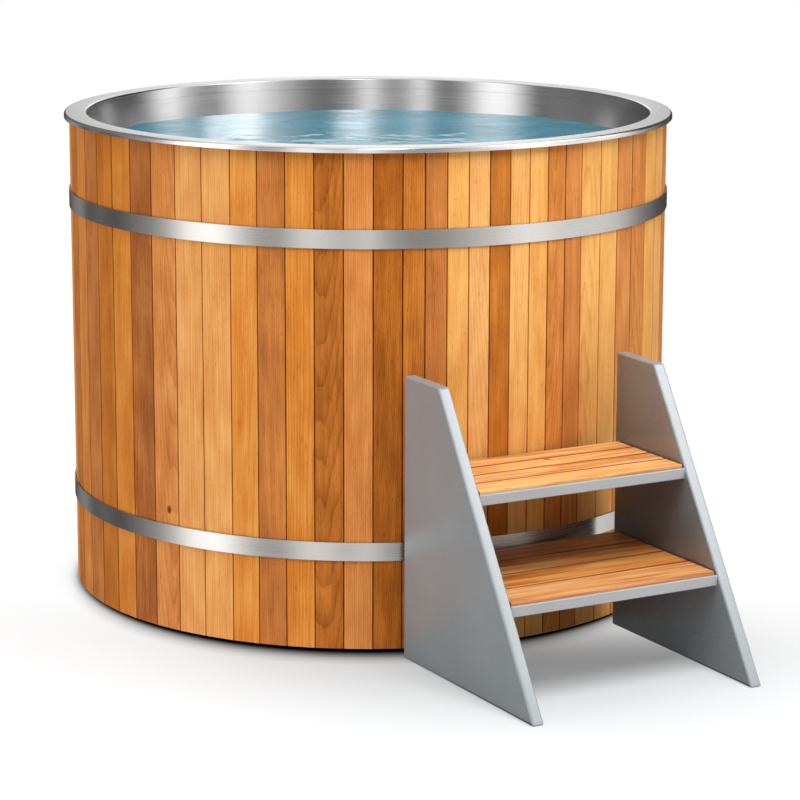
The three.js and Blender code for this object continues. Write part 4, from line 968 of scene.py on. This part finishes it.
class OBJECT_OT_plunge_valve(bpy.types.Operator):
    """Drain pipe, ball valve with its lever, and hose tail at the back"""

    bl_idname = "object.plunge_valve"
    bl_label = "Drain valve"

    def execute(self, context):
        sizes = context.scene.plunge_sizes
        plastic = bpy.data.materials["PVC fittings, grey"]
        fixing = bpy.data.materials["Stainless fixings"]
        brass = mottled("Brass, cast and machined", "#c9b06a", "#b0975a", 0.003, 0.32, 1.0)
        vinyl = mottled("Vinyl sleeve, black", "#2b2c2f", "#1d1e20", 0.002, 0.55)
        low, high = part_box("drain_pipe")
        body_low, body_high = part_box("valve_body")
        at = Vector(((low.x + high.x) / 2, (body_low.y + body_high.y) / 2, (low.z + high.z) / 2))
        self.pipe(sizes, at, low, high, plastic)
        self.body(sizes, at, body_low, body_high, brass)
        self.hose_tail(sizes, at, brass)
        self.stem_and_nut(sizes, at, fixing)
        self.lever(sizes, at, fixing, vinyl)
        return {"FINISHED"}

    def pipe(self, sizes, at, low, high, plastic):
        """The straight pipe from the elbow to the valve."""
        outer = (high.x - low.x) / 2
        pipe = draw("drain_pipe_tube", (
            (outer - sizes.pipe_wall, low.y), (outer, low.y), (outer, high.y), (outer - sizes.pipe_wall, high.y),
        ), lambda r, y: (at.x + r, y, at.z))
        spin(48, center=at, axis=(0, 1, 0))
        settle(pipe, plastic, "tub", "drain_plastic", "drain_pipe")

    def body(self, sizes, at, low, high, brass):
        """Cast housing with two hexagonal ends, a boss for the stem, a bore and a hollow for the ball."""
        half, round_half = (high.y - low.y) / 2, at.z - low.z
        housing = draw("valve_body_brass", (
            (0, -round_half), (round_half, -round_half, sizes.valve_round),
            (round_half, round_half, sizes.valve_round), (0, round_half),
        ), lambda r, y: (at.x + r, at.y + y, at.z), segments=8)
        spin(64, center=at, axis=(0, 1, 0))
        along = Vector((0, half, 0))
        combine(housing, rod("valve_neck", 64, sizes.valve_neck, at - along, at + along), "UNION")
        for side in (-1, 1):
            inner = Vector((0, side * (half - sizes.valve_hex_length), 0))
            end = rod("valve_end", 6, sizes.valve_hex, at + inner, at + side * along)
            ease(end, 2 * sizes.small_edge)
            combine(housing, end, "UNION")
        boss = rod("stem_boss", 48, sizes.boss, at, (at.x, at.y, high.z))
        ease(boss, 2 * sizes.small_edge, lambda a, b: min(a.z, b.z) > high.z - 1e-5)
        combine(housing, boss, "UNION")
        start_fresh()
        bpy.ops.mesh.primitive_uv_sphere_add(segments=48, ring_count=24, radius=sizes.ball_room, location=at)
        combine(housing, bpy.context.object, "DIFFERENCE")
        combine(housing, rod("valve_bore", 48, sizes.valve_bore, at - 2 * along, at + 2 * along), "DIFFERENCE")
        top = (at.x, at.y, high.z + 0.01)
        combine(housing, rod("stem_hole", 48, sizes.stem + 0.0003, at, top), "DIFFERENCE")
        settle(housing, brass, "tub", "valve_brass", "valve_body")

    def hose_tail(self, sizes, at, brass):
        """A collar and three barbs that narrow outwards."""
        low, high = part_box("hose_tail")
        pitch = (high.y - low.y - sizes.tail_collar) / 3
        barbs = []
        for k in range(3):
            start = low.y + sizes.tail_collar + k * pitch
            barbs += [(sizes.tail_radius + sizes.tail_barb, start), (sizes.tail_radius, start + pitch)]
        tail = draw("hose_tail_brass", (
            (sizes.tail_bore, low.y), (sizes.valve_neck, low.y, sizes.small_edge),
            (sizes.valve_neck, low.y + sizes.tail_collar, sizes.small_edge), *barbs, (sizes.tail_bore, high.y),
        ), lambda r, y: (at.x + r, y, at.z))
        spin(64, center=at, axis=(0, 1, 0))
        settle(tail, brass, "tub", "valve_brass", "hose_tail")

    def stem_and_nut(self, sizes, at, fixing):
        """The stem, and the nut that holds the lever on it."""
        low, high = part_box("valve_stem")
        stem = rod("valve_stem_rod", 48, sizes.stem, (at.x, at.y, low.z), (at.x, at.y, high.z))
        ease(stem, sizes.small_edge, lambda a, b: min(a.z, b.z) > high.z - 1e-5)
        settle(stem, fixing, "valve_handle", "fixing_steel", "valve_stem")
        low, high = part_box("lever_nut")
        nut = rod("lever_nut_hex", 6, (high.y - low.y) / 2, (at.x, at.y, low.z), (at.x, at.y, high.z))
        ease(nut, sizes.small_edge)
        combine(nut, rod("nut_hole", 48, sizes.stem + 0.0003, at, (at.x, at.y, high.z + 0.01)), "DIFFERENCE")
        settle(nut, fixing, "valve_handle", "fixing_steel", "lever_nut")

    def lever(self, sizes, at, fixing, vinyl):
        """A kinked flat lever with rounded ends, and its dipped sleeve."""
        low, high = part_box("valve_lever")
        sheet, kink = sizes.lever_sheet, at.x + sizes.lever_kink
        raised = kink + sizes.lever_kink_run
        lever = draw("valve_lever_strip", (
            (low.x, low.z), (kink, low.z), (raised, high.z - sheet), (high.x, high.z - sheet), (high.x, high.z),
            (raised - sheet / 2, high.z), (kink - sheet / 2, low.z + sheet), (low.x, low.z + sheet),
        ), lambda x, z: (x, low.y, z))
        thicken((0, high.y - low.y, 0))
        at_ends = lambda p: min(p.x - low.x, high.x - p.x) < 1e-5
        ease(lever, sizes.lever_round, lambda a, b: at_ends(a) and at_ends(b) and abs(a.z - b.z) > 0.001, 6)
        combine(lever, rod("lever_hole", 48, sizes.stem + 0.0003, at, (at.x, at.y, high.z + 0.01)), "DIFFERENCE")
        settle(lever, fixing, "valve_handle", "fixing_steel", "valve_lever", angle=25)
        tip, lever_high = high.x, high.z
        low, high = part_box("lever_grip")
        grip = draw("lever_grip_sleeve", (
            (low.y, low.z, sizes.grip_wall), (high.y, low.z, sizes.grip_wall),
            (high.y, high.z, sizes.grip_wall), (low.y, high.z, sizes.grip_wall),
        ), lambda y, z: (low.x, y, z), segments=5)
        thicken((high.x - low.x, 0, 0))
        ease(grip, 0.8 * sizes.grip_wall, lambda a, b: min(a.x, b.x) > high.x - 1e-5, 3)
        room = 0.0003
        hollow = block("grip_hollow", (low.x - 0.01, low.y + sizes.grip_wall - room, lever_high - sheet - room),
                       (tip + room, high.y - sizes.grip_wall + room, lever_high + room))
        combine(grip, hollow, "DIFFERENCE")
        settle(grip, vinyl, "valve_handle", "lever_vinyl", "lever_grip")


class OBJECT_OT_plunge_stage(bpy.types.Operator):
    """White studio with a floor, soft lamps, a banded ring for the metal to mirror, and the camera"""

    bl_idname = "object.plunge_stage"
    bl_label = "Studio"

    def execute(self, context):
        studio = context.scene.plunge_studio
        self.floor(studio)
        self.world(context.scene)
        # Soft boxes: degrees round from the camera and up, distance, width, watts
        self.lamp("Key", studio, 19, 60, 5.2, 3.2, 318)
        self.lamp("Left fill", studio, -75, 14, 5.0, 3.0, 64)
        self.lamp("Right fill", studio, 82, 22, 5.0, 3.0, 26)
        # Soft boxes that only gloss shows, on the step panels' raked faces and on their edges
        self.lamp("Face gloss", studio, 68, 39, 5.0, 2.2, 66, gloss=True)
        self.lamp("Edge gloss", studio, 8, 43, 5.0, 1.0, 26, gloss=True)
        self.ring(studio)
        self.camera(context.scene, studio)
        return {"FINISHED"}

    def around(self, studio, degrees, distance, height):
        """A point round the tub, from the camera's side to the right."""
        angle = studio.azimuth + math.radians(degrees)
        return Vector((math.sin(angle) * distance, -math.cos(angle) * distance, height))

    def floor(self, studio):
        """A plain white floor. To the camera it is white and keeps the soft shadow."""
        start_fresh()
        bpy.ops.mesh.primitive_circle_add(vertices=128, radius=12, fill_type="NGON", location=(0, 0, -0.0005))
        floor = bpy.context.object
        floor.name = "studio_floor"
        material, tree, shader = new_finish("Studio floor, white")
        output = tree.nodes["Material Output"]
        tree.nodes.remove(shader)
        rays = add(tree, "ShaderNodeLightPath").outputs
        lit = add(tree, "ShaderNodeBsdfDiffuse", {"Color": (0.8, 0.8, 0.8, 1)}).outputs[0]
        # A shade cooler to the camera, against the warm light that the boards throw on it, and lifted
        shown = add(tree, "ShaderNodeBsdfDiffuse", {"Color": (0.52, 0.535, 0.544, 1)}).outputs[0]
        lift = add(tree, "ShaderNodeEmission", {"Strength": 0.3}).outputs[0]
        bright = add(tree, "ShaderNodeAddShader", {0: shown, 1: lift}).outputs[0]
        white = add(tree, "ShaderNodeEmission", {"Strength": 1.0}).outputs[0]
        black = add(tree, "ShaderNodeBsdfDiffuse", {"Color": (0, 0, 0, 1)}).outputs[0]
        place = add(tree, "ShaderNodeTexCoord").outputs["Object"]
        from_axis = add(tree, "ShaderNodeVectorMath", {0: place}, operation="LENGTH").outputs["Value"]
        ahead = self.around(studio, 0, 0.08, 0)
        from_ahead = add(tree, "ShaderNodeVectorMath", {0: place, 1: ahead}, operation="DISTANCE").outputs["Value"]
        oval = add(tree, "ShaderNodeVectorMath", {0: place, 1: (1, 0.75, 0), 2: (0, 0.2, 0)}, operation="MULTIPLY_ADD")
        reach = add(tree, "ShaderNodeVectorMath", {0: oval.outputs[0]}, operation="LENGTH").outputs["Value"]
        foot, contact, shade = (
            self.fall(tree, *pair) for pair in ((from_axis, FOOT), (from_ahead, CONTACT), (reach, SHADE)))
        open_floor = add(tree, "ShaderNodeMixShader", {0: shade, 1: black, 2: bright}).outputs[0]
        # White further out, with the middle drawn towards the step, and white behind the tub's front
        outer = add(tree, "ShaderNodeMapRange", {"Value": reach, 1: 0.8, 2: 1.5}, interpolation_type="SMOOTHSTEP").outputs[0]
        forward = add(tree, "ShaderNodeVectorMath", {0: place, 1: self.around(studio, 0, 1, 0)}, operation="DOT_PRODUCT").outputs["Value"]
        behind = add(tree, "ShaderNodeMapRange", {"Value": forward, 1: 0.72, 2: 0.2}, interpolation_type="SMOOTHSTEP").outputs[0]
        far = add(tree, "ShaderNodeMath", {0: outer, 1: behind}, operation="MAXIMUM").outputs[0]
        wide = add(tree, "ShaderNodeMixShader", {0: far, 1: open_floor, 2: white}).outputs[0]
        dark = add(tree, "ShaderNodeMath", {0: foot, 1: contact}, operation="MULTIPLY").outputs[0]
        camera = add(tree, "ShaderNodeMixShader", {0: dark, 1: black, 2: wide}).outputs[0]
        first = add(tree, "ShaderNodeMixShader", {0: rays["Is Camera Ray"], 1: lit, 2: camera}).outputs[0]
        tree.links.new(first, output.inputs["Surface"])
        floor.data.materials.append(material)
        # Metal mirrors the studio's bands instead
        floor.visible_glossy = False

    def fall(self, tree, distance, stops):
        """How light it is at a distance of up to two metres."""
        half = add(tree, "ShaderNodeMath", {0: distance, 1: 0.5}, operation="MULTIPLY").outputs[0]
        ramp = add(tree, "ShaderNodeValToRGB", {"Fac": half})
        set_stops(ramp, [(radius / 2, [light] * 3 + [1]) for radius, light in stops])
        return ramp.outputs["Color"]

    def world(self, scene):
        """White to the camera, metal and water; a plain soft fill for the rest."""
        world = bpy.data.worlds.new("Studio")
        scene.world = world
        world.use_nodes = True
        tree = world.node_tree
        rays = add(tree, "ShaderNodeLightPath").outputs
        glossy = add(tree, "ShaderNodeMath", {0: rays["Is Glossy Ray"], 1: rays["Is Transmission Ray"]}, operation="MAXIMUM")
        seen = add(tree, "ShaderNodeMath", {0: rays["Is Camera Ray"], 1: glossy.outputs[0]}, operation="MAXIMUM")
        strength = add(tree, "ShaderNodeMapRange", {"Value": seen.outputs[0], 3: 0.4, 4: 1.0}).outputs[0]
        fill(tree, tree.nodes["Background"], {"Color": (1, 1, 1, 1), "Strength": strength})

    def lamp(self, name, studio, degrees, rise, distance, width, watts, gloss=False):
        """A square soft box that looks at the tub's middle, and lights either gloss or the rest."""
        lamp = bpy.data.lights.new(name, "AREA")
        lamp.shape, lamp.size, lamp.energy = "SQUARE", width, watts
        box = bpy.data.objects.new(name, lamp)
        bpy.context.collection.objects.link(box)
        rise = math.radians(rise)
        box.location = self.around(studio, degrees, distance * math.cos(rise), 0.5 + distance * math.sin(rise))
        box.rotation_euler = (Vector((0, 0, 0.5)) - box.location).to_track_quat("-Z", "Y").to_euler()
        box.visible_glossy, box.visible_diffuse = gloss, not gloss

    def ring(self, studio):
        """A tall ring with bright and dark upright bands, which only gloss shows: the metal mirrors it."""
        start_fresh()
        bpy.ops.mesh.primitive_cylinder_add(vertices=180, radius=6.5, depth=14, end_fill_type="NOTHING", location=(0, 0, 0.5))
        ring = bpy.context.object
        ring.name = "studio_ring"
        ring.rotation_euler.z = studio.azimuth
        material, tree, shader = new_finish("Studio ring, banded")
        tree.nodes.remove(shader)
        place = add(tree, "ShaderNodeSeparateXYZ", {0: add(tree, "ShaderNodeTexCoord").outputs["Object"]}).outputs
        towards = add(tree, "ShaderNodeMath", {0: place["Y"], 1: -1.0}, operation="MULTIPLY").outputs[0]
        angle = add(tree, "ShaderNodeMath", {0: place["X"], 1: towards}, operation="ARCTAN2").outputs[0]
        turn = add(tree, "ShaderNodeMapRange", {"Value": angle, 1: -math.pi, 2: math.pi}).outputs[0]
        low, high = (add(tree, "ShaderNodeValToRGB", {"Fac": turn}) for _ in range(2))
        for ramp, bands in ((low, LOW_BANDS), (high, HIGH_BANDS)):
            set_stops(ramp, [((degrees + 180) / 360, [glow / GLOW] * 3 + [1]) for degrees, glow in bands])
        level = add(tree, "ShaderNodeMapRange", {"Value": place["Z"], 1: 0.4, 2: 1.3, 3: low.outputs[0], 4: high.outputs[0]})
        # Darker low down behind the tub, which the far side of the rim mirrors
        side = add(tree, "ShaderNodeMath", {0: angle}, operation="ABSOLUTE").outputs[0]
        back = add(tree, "ShaderNodeMapRange", {"Value": side, 1: 2.5, 2: 2.85}).outputs[0]
        rise = add(tree, "ShaderNodeMapRange", {"Value": place["Z"], 1: 0.7, 2: 1.8, 3: 0.25, 4: 1.0}).outputs[0]
        dimmed = add(tree, "ShaderNodeMapRange", {"Value": back, 3: 1.0, 4: rise}).outputs[0]
        glow = add(tree, "ShaderNodeMath", {0: level.outputs[0], 1: GLOW}, operation="MULTIPLY").outputs[0]
        strength = add(tree, "ShaderNodeMath", {0: dimmed, 1: glow}, operation="MULTIPLY").outputs[0]
        light = add(tree, "ShaderNodeEmission", {"Strength": strength}).outputs[0]
        tree.links.new(light, tree.nodes["Material Output"].inputs["Surface"])
        material.cycles.emission_sampling = "NONE"
        ring.data.materials.append(material)
        ring.visible_camera = ring.visible_diffuse = ring.visible_shadow = ring.visible_transmission = False

    def camera(self, scene, studio):
        """The photograph's viewpoint."""
        data = bpy.data.cameras.new("Camera")
        data.lens, data.sensor_width, data.clip_end = studio.lens, 36.0, 100
        camera = bpy.data.objects.new("Camera", data)
        scene.collection.objects.link(camera)
        camera.location = self.around(studio, 0, studio.distance, studio.height)
        heading = studio.azimuth - studio.pan
        turn = Matrix.Rotation(heading, 3, "Z") @ Matrix.Rotation(math.pi / 2 - studio.pitch, 3, "X")
        camera.rotation_euler = (turn @ Matrix.Rotation(studio.roll, 3, "Z")).to_euler()
        scene.camera = camera
        scene.view_settings.view_transform = "Standard"


class VIEW3D_PT_plunge_tub(bpy.types.Panel):
    """Lists the steps that build the tub"""

    bl_label = "Cold Plunge Tub"
    bl_space_type = "VIEW_3D"
    bl_region_type = "UI"
    bl_category = "Plunge Tub"

    def draw(self, context):
        for operator in OPERATORS:
            self.layout.operator(operator.bl_idname)
        for group in (context.scene.plunge_sizes, context.scene.plunge_colours, context.scene.plunge_studio):
            for key in group.__annotations__:
                self.layout.prop(group, key)


OPERATORS = (
    OBJECT_OT_plunge_cladding,
    OBJECT_OT_plunge_vessel,
    OBJECT_OT_plunge_hoops,
    OBJECT_OT_plunge_water,
    OBJECT_OT_plunge_step_panels,
    OBJECT_OT_plunge_treads,
    OBJECT_OT_plunge_base,
    OBJECT_OT_plunge_valve,
    OBJECT_OT_plunge_stage,
)
GROUPS = {"plunge_sizes": TubSizes, "plunge_colours": TubColours, "plunge_studio": StudioSettings}


def register():
    for group in GROUPS.values():
        bpy.utils.register_class(group)
    for name, group in GROUPS.items():
        setattr(bpy.types.Scene, name, bpy.props.PointerProperty(type=group))
    for item in (*OPERATORS, VIEW3D_PT_plunge_tub):
        bpy.utils.register_class(item)


def unregister():
    for item in (VIEW3D_PT_plunge_tub, *reversed(OPERATORS)):
        bpy.utils.unregister_class(item)
    for name, group in GROUPS.items():
        delattr(bpy.types.Scene, name)
        bpy.utils.unregister_class(group)


def main():
    register()
    bpy.ops.object.plunge_cladding()
    bpy.ops.object.plunge_vessel()
    bpy.ops.object.plunge_hoops()
    bpy.ops.object.plunge_water()
    bpy.ops.object.plunge_step_panels()
    bpy.ops.object.plunge_treads()
    bpy.ops.object.plunge_base()
    bpy.ops.object.plunge_valve()
    bpy.ops.object.plunge_stage()


if __name__ == "__main__":
    main()
